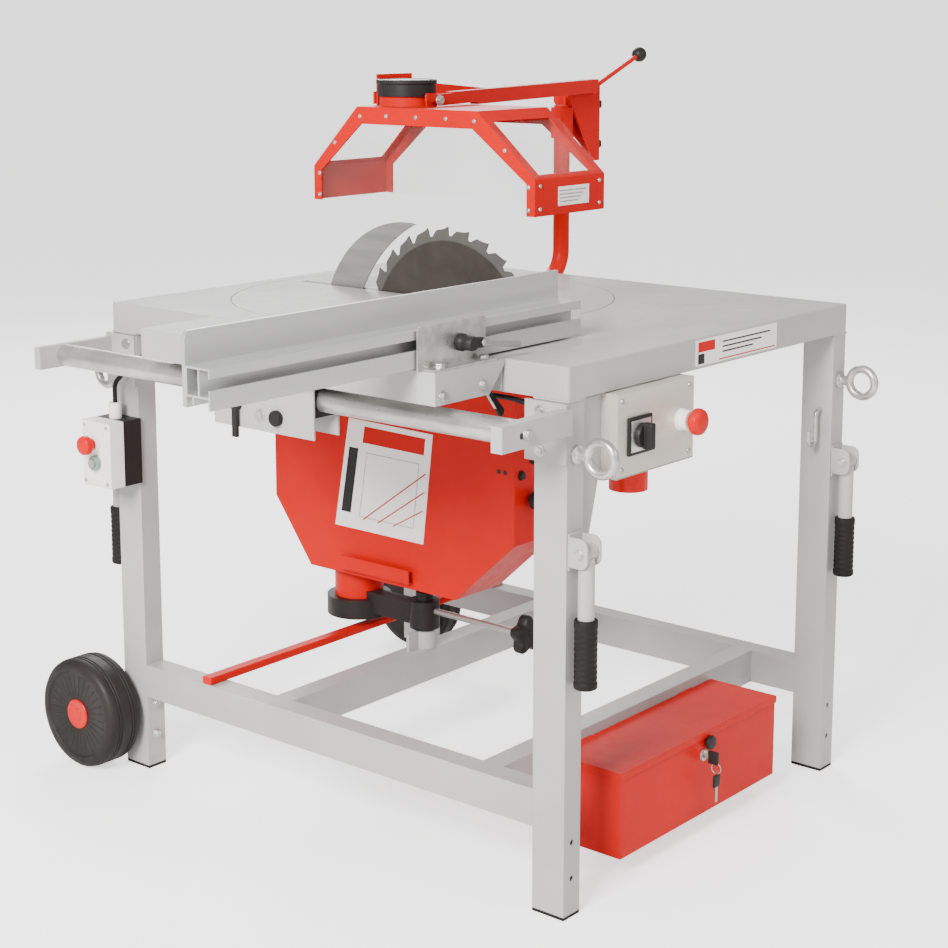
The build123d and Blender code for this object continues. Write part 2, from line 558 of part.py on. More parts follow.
HANGER_Y = (380.0, 600.0)
HANGER_Z = 711.0
HANGER_X = ((-133.0, -130.0), (-80.0, -77.0))
with BuildPart() as crosscut_carriage:
    block(CARRIAGE_X, CARRIAGE_Y, CARRIAGE_Z)
    inner_x = (CARRIAGE_X[0] + 3, CARRIAGE_X[1] - 3)
    inner_y = (CARRIAGE_Y[0] + 3, CARRIAGE_Y[1] - 3)
    block(inner_x, inner_y, (CARRIAGE_Z[0], CARRIAGE_Z[1] - 3), mode=Mode.SUBTRACT)
    low_side = [(-38, CARRIAGE_Z[0] - 1), (1, CARRIAGE_Z[0] - 1), (1, 846)]
    prism(front_plane(CARRIAGE_Y[0] + 4), low_side, 8, mode=Mode.SUBTRACT)
    for hanger_x in HANGER_X:
        block(hanger_x, HANGER_Y, (HANGER_Z, CARRIAGE_Z[1] - 3))
    stop_strip = [(-54, 822), (-46, 822), (0, 774), (0, 767), (-7, 764)]
    prism(front_plane(CARRIAGE_Y[0] + 8), stop_strip, 5)
save(crosscut_carriage, "crosscut_carriage")

with BuildPart() as carriage_glides:
    for glide_y in ((384, 424), (556, 596)):
        block((HANGER_X[0][1], HANGER_X[1][0]), glide_y, (744, 802))
        rod((TUBE_X, glide_y[0] - 1, TUBE_Z), (TUBE_X, glide_y[1] + 1, TUBE_Z), TUBE_R + RUN, mode=Mode.SUBTRACT)
save(carriage_glides, "carriage_glides")

CATCH = (545.0, 746.0)
with BuildPart() as carriage_lever:
    rod((-133.3, CATCH[0], CATCH[1]), (-143, CATCH[0], CATCH[1]), 8)
    block((-143, -137), (CATCH[0] - 5, CATCH[0] + 5), (CATCH[1] - 50, CATCH[1]))
save(carriage_lever, "carriage_lever")

PLATE_SPAN = (-166.0, -16.0)
with BuildPart() as fence_bracket:
    block(PLATE_SPAN, FENCE_PLATE_Y, (850, 914))
    fillet(fence_bracket.edges().filter_by(Axis.Y).group_by(Axis.Z)[-1], radius=6)
    block((-156, -16), (117, FENCE_PLATE_Y[1]), (850, 853.3))
    block((-148, -122), (124, 132), (849, 855), mode=Mode.SUBTRACT)
    bolt = (FENCE_LEVER[0], 139, FENCE_LEVER[1])
    rod(bolt, (FENCE_LEVER[0], 144, FENCE_LEVER[1]), 4 + RUN, mode=Mode.SUBTRACT)
save(fence_bracket, "fence_bracket")

with BuildPart() as fence:
    section = [
        (190, FENCE_Z[0]), (FENCE_Y[1], FENCE_Z[0]), (FENCE_Y[1], FENCE_Z[1]), (191, FENCE_Z[1]),
        (191, 908), (FENCE_Y[0], 908), (FENCE_Y[0], 895), (148.5, 895), (148.5, 905), (165, 905),
        (165, 871), (148.5, 871), (148.5, 880), (FENCE_Y[0], 880), (FENCE_Y[0], FENCE_Z[0]),
        (149, FENCE_Z[0]), (149, 868), (176, 868), (176, 858), (179, 858), (179, 868), (190, 868),
    ]
    prism(side_plane(FENCE_X[0]), section, FENCE_X[1] - FENCE_X[0])
    hollow_y = (168, 188)
    block((FENCE_X[0] - 1, FENCE_X[1] + 1), hollow_y, (871, 905), mode=Mode.SUBTRACT)
    nose = fence.edges().filter_by(Axis.Y).group_by(Axis.Z)[-1].sort_by(Axis.X)[0]
    fillet(nose, radius=10)
save(fence, "fence")

with BuildPart() as fence_lever:
    rod((FENCE_LEVER[0], 139.7, FENCE_LEVER[1]), (FENCE_LEVER[0], 110, FENCE_LEVER[1]), 11)
    rod((FENCE_LEVER[0], 139.7, FENCE_LEVER[1]), (FENCE_LEVER[0], 144, FENCE_LEVER[1]), 4)
    rod((FENCE_LEVER[0], 116, FENCE_LEVER[1]), (30, 112, 867), 5)
save(fence_lever, "fence_lever")

# ---------------------------------------------------------------- switchgear
BOX_SHEET = 1.5
ESTOP = (262.0, 735.0)
ROTARY = (149.0, 730.0)
with BuildPart() as switch_box:
    block(BOX_X, BOX_Y, BOX_Z)
    hollow = [(low + BOX_SHEET, high - BOX_SHEET) for low, high in (BOX_X, BOX_Y, BOX_Z)]
    block(*hollow, mode=Mode.SUBTRACT)
    rod((ESTOP[0], BOX_Y[0] - 1, ESTOP[1]), (ESTOP[0], BOX_Y[0] + 3, ESTOP[1]), 10, mode=Mode.SUBTRACT)
    rod((ROTARY[0], BOX_Y[0] - 1, ROTARY[1]), (ROTARY[0], BOX_Y[0] + 3, ROTARY[1]), 6, mode=Mode.SUBTRACT)
    block((BOX_X[0] + 20, BOX_X[0] + 60), (20, 50), (BOX_Z[1], SKIRT_Z + 44))
    block((BOX_X[1] - 60, BOX_X[1] - 20), (20, 50), (BOX_Z[1], SKIRT_Z + 44))
save(switch_box, "switch_box")

INLET = (190.0, 26.0)
with BuildPart() as power_inlet:
    ring((INLET[0], INLET[1], BOX_Z[0]), (INLET[0], INLET[1], 632), 30, 26)
    rod((INLET[0], INLET[1], BOX_Z[0]), (INLET[0], INLET[1], 664), 30)
    for pin in range(5):
        turn = 2 * pi * pin / 5
        pin_x = INLET[0] + 15 * cos(turn)
        pin_y = INLET[1] + 15 * sin(turn)
        rod((pin_x, pin_y, 666), (pin_x, pin_y, 640), 2.5)
save(power_inlet, "power_inlet")

with BuildPart() as panel_plates:
    block((ROTARY[0] - 30, ROTARY[0] + 30), (BOX_Y[0] - 5, BOX_Y[0]), (ROTARY[1] - 29, ROTARY[1] + 29))
    rod((ROTARY[0], BOX_Y[0] - 6, ROTARY[1]), (ROTARY[0], BOX_Y[0] + 1, ROTARY[1]), 5 + RUN, mode=Mode.SUBTRACT)
    ring((ESTOP[0], BOX_Y[0], ESTOP[1]), (ESTOP[0], BOX_Y[0] - 18, ESTOP[1]), 17, 9 + RUN)
save(panel_plates, "panel_plates")

with BuildPart() as switch_knob:
    rod((ROTARY[0], BOX_Y[0] - 5.3, ROTARY[1]), (ROTARY[0], BOX_Y[0] - 16, ROTARY[1]), 19)
    block((ROTARY[0] - 7, ROTARY[0] + 7), (BOX_Y[0] - 28, BOX_Y[0] - 14), (ROTARY[1] - 21, ROTARY[1] + 21))
    rod((ROTARY[0], BOX_Y[0] - 6, ROTARY[1]), (ROTARY[0], BOX_Y[0] + 8, ROTARY[1]), 5)
save(switch_knob, "switch_knob")

PRESS = 5.0
with BuildPart() as main_estop:
    face_y = BOX_Y[0] - 42
    rod((ESTOP[0], face_y, ESTOP[1]), (ESTOP[0], BOX_Y[0] - 18 - PRESS - 1, ESTOP[1]), 21)
    rod((ESTOP[0], face_y + 10, ESTOP[1]), (ESTOP[0], BOX_Y[0] + 4, ESTOP[1]), 9)
    fillet(main_estop.edges().group_by(Axis.Y)[0], radius=6)
save(main_estop, "main_estop")

REMOTE_MID = (REMOTE_Y[0] + REMOTE_Y[1]) / 2
REMOTE_ESTOP_Z = 612.0
REMOTE_START_Z = 577.0
with BuildPart() as remote_base:
    block((REMOTE_X[1], LEG_INSET), REMOTE_Y, REMOTE_Z)
    hollow = ((REMOTE_X[1], -2), (REMOTE_Y[0] + 3, REMOTE_Y[1] - 3), (REMOTE_Z[0] + 3, REMOTE_Z[1] - 3))
    block(*hollow, mode=Mode.SUBTRACT)
save(remote_base, "remote_base")

GLAND_X = -24.0
with BuildPart() as remote_cover:
    block((REMOTE_X[0], REMOTE_X[1]), REMOTE_Y, REMOTE_Z)
    fillet(remote_cover.faces().sort_by(Axis.X)[0].edges(), radius=3)
    hollow = ((REMOTE_X[0] + 3, REMOTE_X[1]), (REMOTE_Y[0] + 3, REMOTE_Y[1] - 3), (REMOTE_Z[0] + 3, REMOTE_Z[1] - 3))
    block(*hollow, mode=Mode.SUBTRACT)
    for button_z, bore_r in ((REMOTE_ESTOP_Z, 9), (REMOTE_START_Z, 8)):
        rod((REMOTE_X[0] + 5, REMOTE_MID, button_z), (REMOTE_X[0] - 8, REMOTE_MID, button_z), bore_r + 4)
        rod((REMOTE_X[0] + 6, REMOTE_MID, button_z), (REMOTE_X[0] - 9, REMOTE_MID, button_z), bore_r + RUN,
            mode=Mode.SUBTRACT)
save(remote_cover, "remote_cover")

with BuildPart() as cable_gland:
    ring((GLAND_X, REMOTE_MID, REMOTE_Z[1]), (GLAND_X, REMOTE_MID, REMOTE_Z[1] + 28), 11, 4)
save(cable_gland, "cable_gland")

with BuildPart() as remote_estop:
    rod((REMOTE_X[0] - 34, REMOTE_MID, REMOTE_ESTOP_Z), (REMOTE_X[0] - 14, REMOTE_MID, REMOTE_ESTOP_Z), 17)
    rod((REMOTE_X[0] - 14, REMOTE_MID, REMOTE_ESTOP_Z), (REMOTE_X[0] + 8, REMOTE_MID, REMOTE_ESTOP_Z), 9)
    fillet(remote_estop.edges().group_by(Axis.X)[0], radius=5)
save(remote_estop, "remote_estop")

with BuildPart() as remote_start:
    rod((REMOTE_X[0] - 13, REMOTE_MID, REMOTE_START_Z), (REMOTE_X[0] + 8, REMOTE_MID, REMOTE_START_Z), 8)
    fillet(remote_start.edges().group_by(Axis.X)[0], radius=1.5)
save(remote_start, "remote_start")

# The control cable climbs from the remote box, turns in under the table's left edge, runs
# along the inside of the skirt and drops into the main box's left wall.
CABLE_R = 4.0
CABLE_ROUTE = [
    (GLAND_X, REMOTE_MID, REMOTE_Z[1] + 6), (GLAND_X, REMOTE_MID, 712), (-20, 930, 752),
    (22, 900, 784), (24, 120, 786), (60, 40, 760), (BOX_X[0] - 1, 36, 757),
]
CABLE_RADII = [24, 40, 40, 40, 22]
with BuildPart() as control_cable:
    swept(CABLE_ROUTE, CABLE_RADII, CABLE_R)
save(control_cable, "control_cable")

# ---------------------------------------------------------------- toolbox
BOX_WALL = 1.5
with BuildPart() as toolbox:
    block(TOOLBOX_X, TOOLBOX_Y, TOOLBOX_Z)
    hollow = [(low + BOX_WALL, high - BOX_WALL) for low, high in (TOOLBOX_X, TOOLBOX_Y)]
    block(*hollow, (TOOLBOX_Z[0] + BOX_WALL, TOOLBOX_Z[1] + 1), mode=Mode.SUBTRACT)
    ring((400, TOOLBOX_Y[0], 140), (400, TOOLBOX_Y[0] - 3, 140), 10, 4 + RUN)
    rod((400, TOOLBOX_Y[0] - 4, 140), (400, TOOLBOX_Y[0] + 5, 140), 4 + RUN, mode=Mode.SUBTRACT)
save(toolbox, "toolbox")

LID_HINGE = (148.5, 180.0)
with BuildPart() as toolbox_lid:
    block((TOOLBOX_X[0] - 2, TOOLBOX_X[1] + 2), (TOOLBOX_Y[0] - 2, LID_HINGE[0]), (168, TOOLBOX_Z[1] + 2))
    hollow_x = (TOOLBOX_X[0] - 0.5, TOOLBOX_X[1] + 0.5)
    block(hollow_x, (TOOLBOX_Y[0] - 0.5, 151), (167, TOOLBOX_Z[1] + 0.5), mode=Mode.SUBTRACT)
save(toolbox_lid, "toolbox_lid")

with BuildPart() as lock_key:
    rod((400, TOOLBOX_Y[0] - 8, 140), (400, TOOLBOX_Y[0] + 8, 140), 4)
    block((398.5, 401.5), (TOOLBOX_Y[0] - 12, TOOLBOX_Y[0] - 4), (136, 144))
    block((397, 403), (TOOLBOX_Y[0] - 30, TOOLBOX_Y[0] - 11), (129, 151))
save(lock_key, "lock_key")

# ---------------------------------------------------------------- fittings on the legs
PIN_R = 5.0
PIN_OUT = 22.0
PIN_Z = 575.0
HANDLE_LOW = 368.0


def leg_face(leg_y):
    """The leg's outer end face and the outward direction along y."""
    if leg_y < TABLE_L / 2:
        return leg_y, -1
    return leg_y + LEG_Y, 1


def span(start, first, second, out):
    """Two distances out from a face, as a low and high pair."""
    values = sorted((start + out * first, start + out * second))
    return tuple(values)


with BuildPart() as handle_brackets:
    for leg_x, leg_y in leg_corners:
        face, out = leg_face(leg_y)
        middle = leg_x + LEG_X / 2
        block((middle - 18, middle + 18), span(face, 0, 3, out), (547, 603))
        for cheek in ((middle - 18, middle - 14), (middle + 14, middle + 18)):
            block(cheek, span(face, 3, 36, out), (553, 599))
        rod((middle - 16, face + out * PIN_OUT, PIN_Z), (middle + 16, face + out * PIN_OUT, PIN_Z), PIN_R)
save(handle_brackets, "handle_brackets")

handle_names = ("handle_front_left", "handle_back_left", "handle_front_right", "handle_back_right")
for name, (leg_x, leg_y) in zip(handle_names, leg_corners):
    face, out = leg_face(leg_y)
    middle = leg_x + LEG_X / 2
    axis_y = face + out * PIN_OUT
    with BuildPart() as carry_handle:
        rod((middle - 13, axis_y, PIN_Z), (middle + 13, axis_y, PIN_Z), 12.5)
        rod((middle, axis_y, PIN_Z), (middle, axis_y, HANDLE_LOW), 12.5)
        rod((middle, axis_y, HANDLE_LOW + 106), (middle, axis_y, HANDLE_LOW), 18)
        rod((middle - 14, axis_y, PIN_Z), (middle + 14, axis_y, PIN_Z), PIN_R + RUN, mode=Mode.SUBTRACT)
    save(carry_handle, name)

EYE_Z = 718.0
EYE_OUT = 46.0
EYE_R = 24.0
EYE_WIRE = 7.0
with BuildPart() as eye_bolts:
    for leg_x, leg_y in leg_corners:
        face, out = leg_face(leg_y)
        middle = leg_x + LEG_X / 2
        hub = at(middle, face + out * EYE_OUT, EYE_Z)
        with Locations(Plane(hub, z_dir=(1, 0, 0))):
            Torus(EYE_R, EYE_WIRE)
        rod((middle, face, EYE_Z), (middle, face + out * (EYE_OUT - EYE_R), EYE_Z), 8)
        rod((middle, face, EYE_Z), (middle, face + out * 6, EYE_Z), 14)
save(eye_bolts, "eye_bolts")

HOOK_X = TABLE_W - LEG_INSET - LEG_X
with BuildPart() as cable_hook:
    hook_route = [(HOOK_X, 24, 664), (HOOK_X - 16, 24, 664), (HOOK_X - 16, 24, 606)]
    hook_route += [(HOOK_X - 40, 24, 606), (HOOK_X - 40, 24, 632)]
    swept(hook_route, [8, 10, 10], 4)
save(cable_hook, "cable_hook")

AXLE_Z = WHEEL_R + 2
with BuildPart() as wheel_brackets:
    for flip in (False, True):
        def across(x, flip=flip):
            """The place on this side of the machine."""
            return mirrored_x(x) if flip else x

        def pair(low, high):
            """Low and high values on this side, in order."""
            return tuple(sorted((across(low), across(high))))

        face = TABLE_L - LEG_INSET
        block(pair(LEG_INSET, LEG_INSET + LEG_X), (face, face + 6), (40, 150))
        block(pair(8, 34), (face + 6, WHEEL_Y + 16), (84, 116))
        rod((across(34), WHEEL_Y, AXLE_Z), (across(WHEEL_X[0] + 8), WHEEL_Y, AXLE_Z), AXLE_R)
save(wheel_brackets, "wheel_brackets")

WHEEL_HALF = (WHEEL_X[1] - WHEEL_X[0]) / 2
for name, flip in (("wheel_left", False), ("wheel_right", True)):
    centre_x = (WHEEL_X[0] + WHEEL_X[1]) / 2
    centre_x = mirrored_x(centre_x) if flip else centre_x
    with BuildPart() as wheel:
        low = centre_x - WHEEL_HALF
        high = centre_x + WHEEL_HALF
        rod((low, WHEEL_Y, AXLE_Z), (high, WHEEL_Y, AXLE_Z), WHEEL_R)
        fillet(wheel.edges().filter_by(GeomType.CIRCLE), radius=9)
        for face_x, depth in ((low, 4), (high, -4)):
            ring_plane = Plane(at(face_x, WHEEL_Y, AXLE_Z), z_dir=(1, 0, 0))
            with BuildSketch(ring_plane) as recess:
                Circle(76)
                Circle(30, mode=Mode.SUBTRACT)
            extrude(recess.sketch, amount=depth, mode=Mode.SUBTRACT)
        rod((low + 4, WHEEL_Y, AXLE_Z), (high - 4, WHEEL_Y, AXLE_Z), AXLE_R + RUN, mode=Mode.SUBTRACT)
        inner = low if flip else high
        rod((inner, WHEEL_Y, AXLE_Z), (centre_x, WHEEL_Y, AXLE_Z), AXLE_R + RUN, mode=Mode.SUBTRACT)
    save(wheel, name)

BOLT_R = 7.5
HEAD = 6.0
with BuildPart() as frame_bolts:
    hexagon((TUBE_X, GUIDE_ENDS[0][0], TUBE_Z), (TUBE_X, GUIDE_ENDS[0][0] - HEAD, TUBE_Z), BOLT_R)
    hexagon((TUBE_X, GUIDE_ENDS[1][1], TUBE_Z), (TUBE_X, GUIDE_ENDS[1][1] + HEAD, TUBE_Z), BOLT_R)
    for bolt_y in (48, 964):
        for bolt_z in (722, 780):
            hexagon((-4, bolt_y, bolt_z), (-4 - HEAD, bolt_y, bolt_z), BOLT_R)
    back_leg_y = TABLE_L - LEG_INSET - LEG_Y
    for bolt_x in (LEG_INSET + LEG_X / 2, TABLE_W - LEG_INSET - LEG_X / 2):
        for bolt_z in HOLE_Z:
            hexagon((bolt_x, back_leg_y, bolt_z), (bolt_x, back_leg_y - HEAD, bolt_z), BOLT_R)
save(frame_bolts, "frame_bolts")
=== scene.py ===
import json
from math import cos, pi, radians, sin, tau

import bmesh
import bpy
from mathutils import Matrix, Vector


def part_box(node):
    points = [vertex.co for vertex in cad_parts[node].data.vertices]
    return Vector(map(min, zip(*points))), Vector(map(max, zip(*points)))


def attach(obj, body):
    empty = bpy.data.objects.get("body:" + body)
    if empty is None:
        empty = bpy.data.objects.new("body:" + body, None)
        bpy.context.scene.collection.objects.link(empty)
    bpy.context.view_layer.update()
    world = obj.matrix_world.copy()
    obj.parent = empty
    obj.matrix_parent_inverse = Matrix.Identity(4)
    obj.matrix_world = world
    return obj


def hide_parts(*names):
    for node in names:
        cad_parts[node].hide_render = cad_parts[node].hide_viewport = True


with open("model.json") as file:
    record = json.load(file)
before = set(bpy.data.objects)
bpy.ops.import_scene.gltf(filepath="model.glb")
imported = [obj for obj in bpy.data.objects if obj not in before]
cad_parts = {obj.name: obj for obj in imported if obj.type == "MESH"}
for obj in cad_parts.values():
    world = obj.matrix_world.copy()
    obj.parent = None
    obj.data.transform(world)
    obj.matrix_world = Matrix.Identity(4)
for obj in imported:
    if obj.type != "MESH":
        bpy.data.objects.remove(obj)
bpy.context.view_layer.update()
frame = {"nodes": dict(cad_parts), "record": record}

MM = 0.001
UP = Vector((0, 0, 1))
X = Vector((1, 0, 0))
Y = Vector((0, 1, 0))
SHARP_EDGE = radians(32)  # faces that meet at more than this keep a hard edge between them
EDGE_WEAR = 1.2  # mm, how far the light rounds an edge

# ---------------------------------------------------------------- camera
camera_data = bpy.data.cameras.new("camera")
camera = bpy.data.objects.new("camera", camera_data)
bpy.context.scene.collection.objects.link(camera)
camera.location = (-2.453, -2.172, 1.345)
camera.rotation_euler = (radians(90 - 10.1), 0, radians(-50.2))
camera_data.lens = 73.4
camera_data.sensor_width = 36.0
camera_data.shift_y = -0.12
camera_data.clip_end = 60.0
bpy.context.scene.camera = camera

# ---------------------------------------------------------------- where things are
table_low, table_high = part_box("table_top")


def at(x, y, z):
    """A place in metres from millimetres off the table's front left corner on the floor."""
    return Vector((table_low.x + x * MM, table_low.y + y * MM, z * MM))


def middle(node):
    """The middle of a CAD node."""
    low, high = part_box(node)
    return (low + high) / 2


def solids(node):
    """Lowest and highest corner of each separate solid in a CAD node, left to right, front to back."""
    mesh = frame["nodes"][node].data
    leader = {}

    def find(key):
        while leader.setdefault(key, key) != key:
            leader[key] = leader[leader[key]]
            key = leader[key]
        return key

    keys = [tuple(round(c, 5) for c in v.co) for v in mesh.vertices]
    for polygon in mesh.polygons:
        first = find(keys[polygon.vertices[0]])
        for index in polygon.vertices[1:]:
            leader[find(keys[index])] = first
    groups = {}
    for key in keys:
        groups.setdefault(find(key), []).append(key)
    boxes = []
    for points in groups.values():
        low = Vector([min(p[i] for p in points) for i in range(3)])
        high = Vector([max(p[i] for p in points) for i in range(3)])
        boxes.append((low, high))
    return sorted(boxes, key=lambda b: tuple(b[0]))


# ---------------------------------------------------------------- materials
def new_material(name):
    """An empty node material with its Principled shader, as (material, nodes, link function, shader)."""
    material = bpy.data.materials.new(name)
    material.use_nodes = True
    tree = material.node_tree
    shader = next(n for n in tree.nodes if n.type == "BSDF_PRINCIPLED")
    return material, tree.nodes, tree.links.new, shader


def noise(nodes, link, scale, detail=4.0, stretch=(1, 1, 1)):
    """Fractal noise in the object's own metres, stretched along its axes."""
    place = nodes.new("ShaderNodeTexCoord")
    mapping = nodes.new("ShaderNodeMapping")
    mapping.inputs["Scale"].default_value = stretch
    texture = nodes.new("ShaderNodeTexNoise")
    texture.inputs["Scale"].default_value = scale
    texture.inputs["Detail"].default_value = detail
    link(place.outputs["Object"], mapping.inputs["Vector"])
    link(mapping.outputs["Vector"], texture.inputs["Vector"])
    return texture.outputs["Fac"]


def spread(nodes, link, value, low, high):
    """A noise value stretched to run from low to high."""
    remap = nodes.new("ShaderNodeMapRange")
    remap.inputs["From Min"].default_value = 0.3
    remap.inputs["From Max"].default_value = 0.7
    remap.inputs["To Min"].default_value = low
    remap.inputs["To Max"].default_value = high
    link(value, remap.inputs["Value"])
    return remap.outputs["Result"]


def blend_colours(nodes, link, value, first, second):
    """A colour that runs from the first to the second with the value."""
    mix = nodes.new("ShaderNodeMix")
    mix.data_type = "RGBA"
    mix.inputs["A"].default_value = (*first, 1)
    mix.inputs["B"].default_value = (*second, 1)
    link(value, mix.inputs["Factor"])
    return mix.outputs["Result"]


def surface(name, colours, rough, metallic=0.0, patch=6.0, grain=420.0, depth=0.02,
            stretch=(1, 1, 1), shine=0.3):
    """A paint, plastic or metal: two close tones in soft patches, uneven gloss, fine grain, soft edges.

    rough is the range of its roughness; patch and grain are noise scales; depth is the bump's, in mm.
    """
    material, nodes, link, shader = new_material(name)
    patches = spread(nodes, link, noise(nodes, link, patch, 5.0, stretch), 0.0, 1.0)
    link(blend_colours(nodes, link, patches, *colours), shader.inputs["Base Color"])
    gloss = noise(nodes, link, patch * 6.0, 6.0, stretch)
    link(spread(nodes, link, gloss, *rough), shader.inputs["Roughness"])
    shader.inputs["Metallic"].default_value = metallic
    shader.inputs["Specular IOR Level"].default_value = shine
    corner = nodes.new("ShaderNodeBevel")
    corner.samples = 4
    corner.inputs["Radius"].default_value = EDGE_WEAR * MM
    bump = nodes.new("ShaderNodeBump")
    bump.inputs["Strength"].default_value = 0.35
    bump.inputs["Distance"].default_value = depth * MM
    link(noise(nodes, link, grain, 2.0, stretch), bump.inputs["Height"])
    link(corner.outputs["Normal"], bump.inputs["Normal"])
    link(bump.outputs["Normal"], shader.inputs["Normal"])
    return material


def pane_material():
    """Clear sheet clouded by dust: partly see-through, with a soft sheen."""
    material, nodes, link, shader = new_material("clear_pane")
    haze = spread(nodes, link, noise(nodes, link, 5.0, 6.0), 0.0, 1.0)
    tint = blend_colours(nodes, link, haze, (0.42, 0.36, 0.33), (0.50, 0.44, 0.41))
    link(tint, shader.inputs["Base Color"])
    link(spread(nodes, link, noise(nodes, link, 30.0), 0.06, 0.16), shader.inputs["Roughness"])
    link(spread(nodes, link, noise(nodes, link, 9.0), 0.02, 0.05), shader.inputs["Alpha"])
    shader.inputs["IOR"].default_value = 1.49
    return material


def blade_material():
    """Coated saw steel, dark in the body and bright at the ground rim."""
    low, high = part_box("saw_blade")
    centre = (low + high) / 2
    radius = (high.z - low.z) / 2
    material, nodes, link, shader = new_material("blade_steel")
    place = nodes.new("ShaderNodeTexCoord")
    distance = nodes.new("ShaderNodeVectorMath")
    distance.operation = "DISTANCE"
    distance.inputs[1].default_value = centre
    link(place.outputs["Object"], distance.inputs[0])
    rim = nodes.new("ShaderNodeMapRange")
    rim.inputs["From Min"].default_value = radius * 0.868
    rim.inputs["From Max"].default_value = radius * 0.884
    link(distance.outputs["Value"], rim.inputs["Value"])
    body = blend_colours(nodes, link, spread(nodes, link, noise(nodes, link, 9.0), 0, 1),
                         (0.060, 0.050, 0.044), (0.095, 0.080, 0.070))
    mix = nodes.new("ShaderNodeMix")
    mix.data_type = "RGBA"
    mix.inputs["B"].default_value = (0.15, 0.142, 0.132, 1)
    link(rim.outputs["Result"], mix.inputs["Factor"])
    link(body, mix.inputs["A"])
    link(mix.outputs["Result"], shader.inputs["Base Color"])
    rings = nodes.new("ShaderNodeTexNoise")
    rings.noise_dimensions = "1D"
    rings.inputs["Scale"].default_value = 900.0
    link(distance.outputs["Value"], rings.inputs["W"])
    bump = nodes.new("ShaderNodeBump")
    bump.inputs["Strength"].default_value = 0.25
    bump.inputs["Distance"].default_value = 0.04 * MM
    link(rings.outputs["Fac"], bump.inputs["Height"])
    link(bump.outputs["Normal"], shader.inputs["Normal"])
    link(spread(nodes, link, noise(nodes, link, 45.0), 0.34, 0.50), shader.inputs["Roughness"])
    shader.inputs["Metallic"].default_value = 0.75
    return material


LOOKS = {
    "grey_paint": surface(
        "grey_paint", ((0.35, 0.345, 0.335), (0.41, 0.405, 0.395)),
        (0.30, 0.44), depth=0.03),
    "red_paint": surface(
        "red_paint", ((0.46, 0.0025, 0.0008), (0.54, 0.004, 0.0015)),
        (0.30, 0.42), shine=0.1, depth=0.03),
    "black_paint": surface(
        "black_paint", ((0.010, 0.008, 0.007), (0.018, 0.015, 0.014)),
        (0.36, 0.5), shine=0.2),
    "galvanised": surface(
        "galvanised", ((0.36, 0.35, 0.33), (0.62, 0.61, 0.57)),
        (0.26, 0.40), 0.8, 14.0, 300.0, depth=0.004, stretch=(3, 0.7, 3)),
    "stainless": surface(
        "stainless", ((0.56, 0.50, 0.43), (0.64, 0.58, 0.51)),
        (0.34, 0.48), 0.45, 5.0, 300.0, stretch=(0.5, 1, 9)),
    "machined": surface(
        "machined", ((0.34, 0.345, 0.33), (0.46, 0.46, 0.44)),
        (0.28, 0.42), 0.85, 10.0, 500.0, stretch=(1, 0.5, 6)),
    "aluminium": surface(
        "aluminium", ((0.48, 0.48, 0.465), (0.56, 0.56, 0.545)),
        (0.32, 0.46), 0.6, 8.0, 700.0, stretch=(0.15, 6, 6)),
    "black_plastic": surface(
        "black_plastic", ((0.010, 0.009, 0.008), (0.018, 0.016, 0.015)),
        (0.40, 0.56), grain=900.0, depth=0.06, shine=0.2),
    "black_rubber": surface(
        "black_rubber", ((0.007, 0.006, 0.005), (0.014, 0.011, 0.010)),
        (0.48, 0.64), grain=600.0, depth=0.06, shine=0.15),
    "tyre": surface(
        "tyre", ((0.010, 0.008, 0.007), (0.021, 0.017, 0.015)),
        (0.46, 0.62), grain=500.0, depth=0.06, shine=0.2),
    "red_plastic": surface(
        "red_plastic", ((0.50, 0.0025, 0.001), (0.58, 0.004, 0.002)),
        (0.22, 0.34), shine=0.15),
    "cream_plastic": surface(
        "cream_plastic", ((0.80, 0.75, 0.70), (0.88, 0.83, 0.78)),
        (0.36, 0.48), grain=900.0),
    "green_plastic": surface(
        "green_plastic", ((0.17, 0.23, 0.18), (0.22, 0.29, 0.23)),
        (0.26, 0.36)),
    "motor_paint": surface(
        "motor_paint", ((0.05, 0.055, 0.06), (0.075, 0.08, 0.085)),
        (0.4, 0.55)),
    "decal_white": surface(
        "decal_white", ((0.80, 0.74, 0.72), (0.88, 0.83, 0.81)),
        (0.36, 0.48)),
    "lid_blue": surface(
        "lid_blue", ((0.36, 0.45, 0.52), (0.46, 0.55, 0.62)),
        (0.28, 0.4)),
    "decal_ink": surface(
        "decal_ink", ((0.008, 0.007, 0.007), (0.016, 0.014, 0.013)),
        (0.34, 0.46), shine=0.2),
    "clear_pane": pane_material(),
    "blade_steel": blade_material(),
}

node_slots = {part["node"]: part["material_slot"] for part in frame["record"]["subparts"]}
for node, part in frame["nodes"].items():
    part.data.materials.clear()
    part.data.materials.append(LOOKS[node_slots[node]])


# ---------------------------------------------------------------- mesh tools
def mesh_from(shape, name):
    """Makes a mesh from a finished bmesh and frees it."""
    mesh = bpy.data.meshes.new(name)
    shape.to_mesh(mesh)
    shape.free()
    return mesh


def finish_piece(name, mesh, look, body, stands_for=()):
    """Makes a piece from a mesh and ties it to its body."""
    piece = bpy.data.objects.new(name, mesh)
    bpy.context.scene.collection.objects.link(piece)
    mesh.materials.clear()
    mesh.materials.append(LOOKS[look])
    mesh.shade_smooth()
    mesh.set_sharp_from_angle(angle=SHARP_EDGE)
    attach(piece, body)
    if stands_for:
        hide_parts(*stands_for)
    return piece


def joined(name, meshes):
    """Several meshes as one."""
    whole = bmesh.new()
    for mesh in meshes:
        whole.from_mesh(mesh)
    return mesh_from(whole, name)


def turn_to(axis):
    """The rotation that takes +Z to an axis."""
    return UP.rotation_difference(Vector(axis).normalized()).to_matrix().to_4x4()


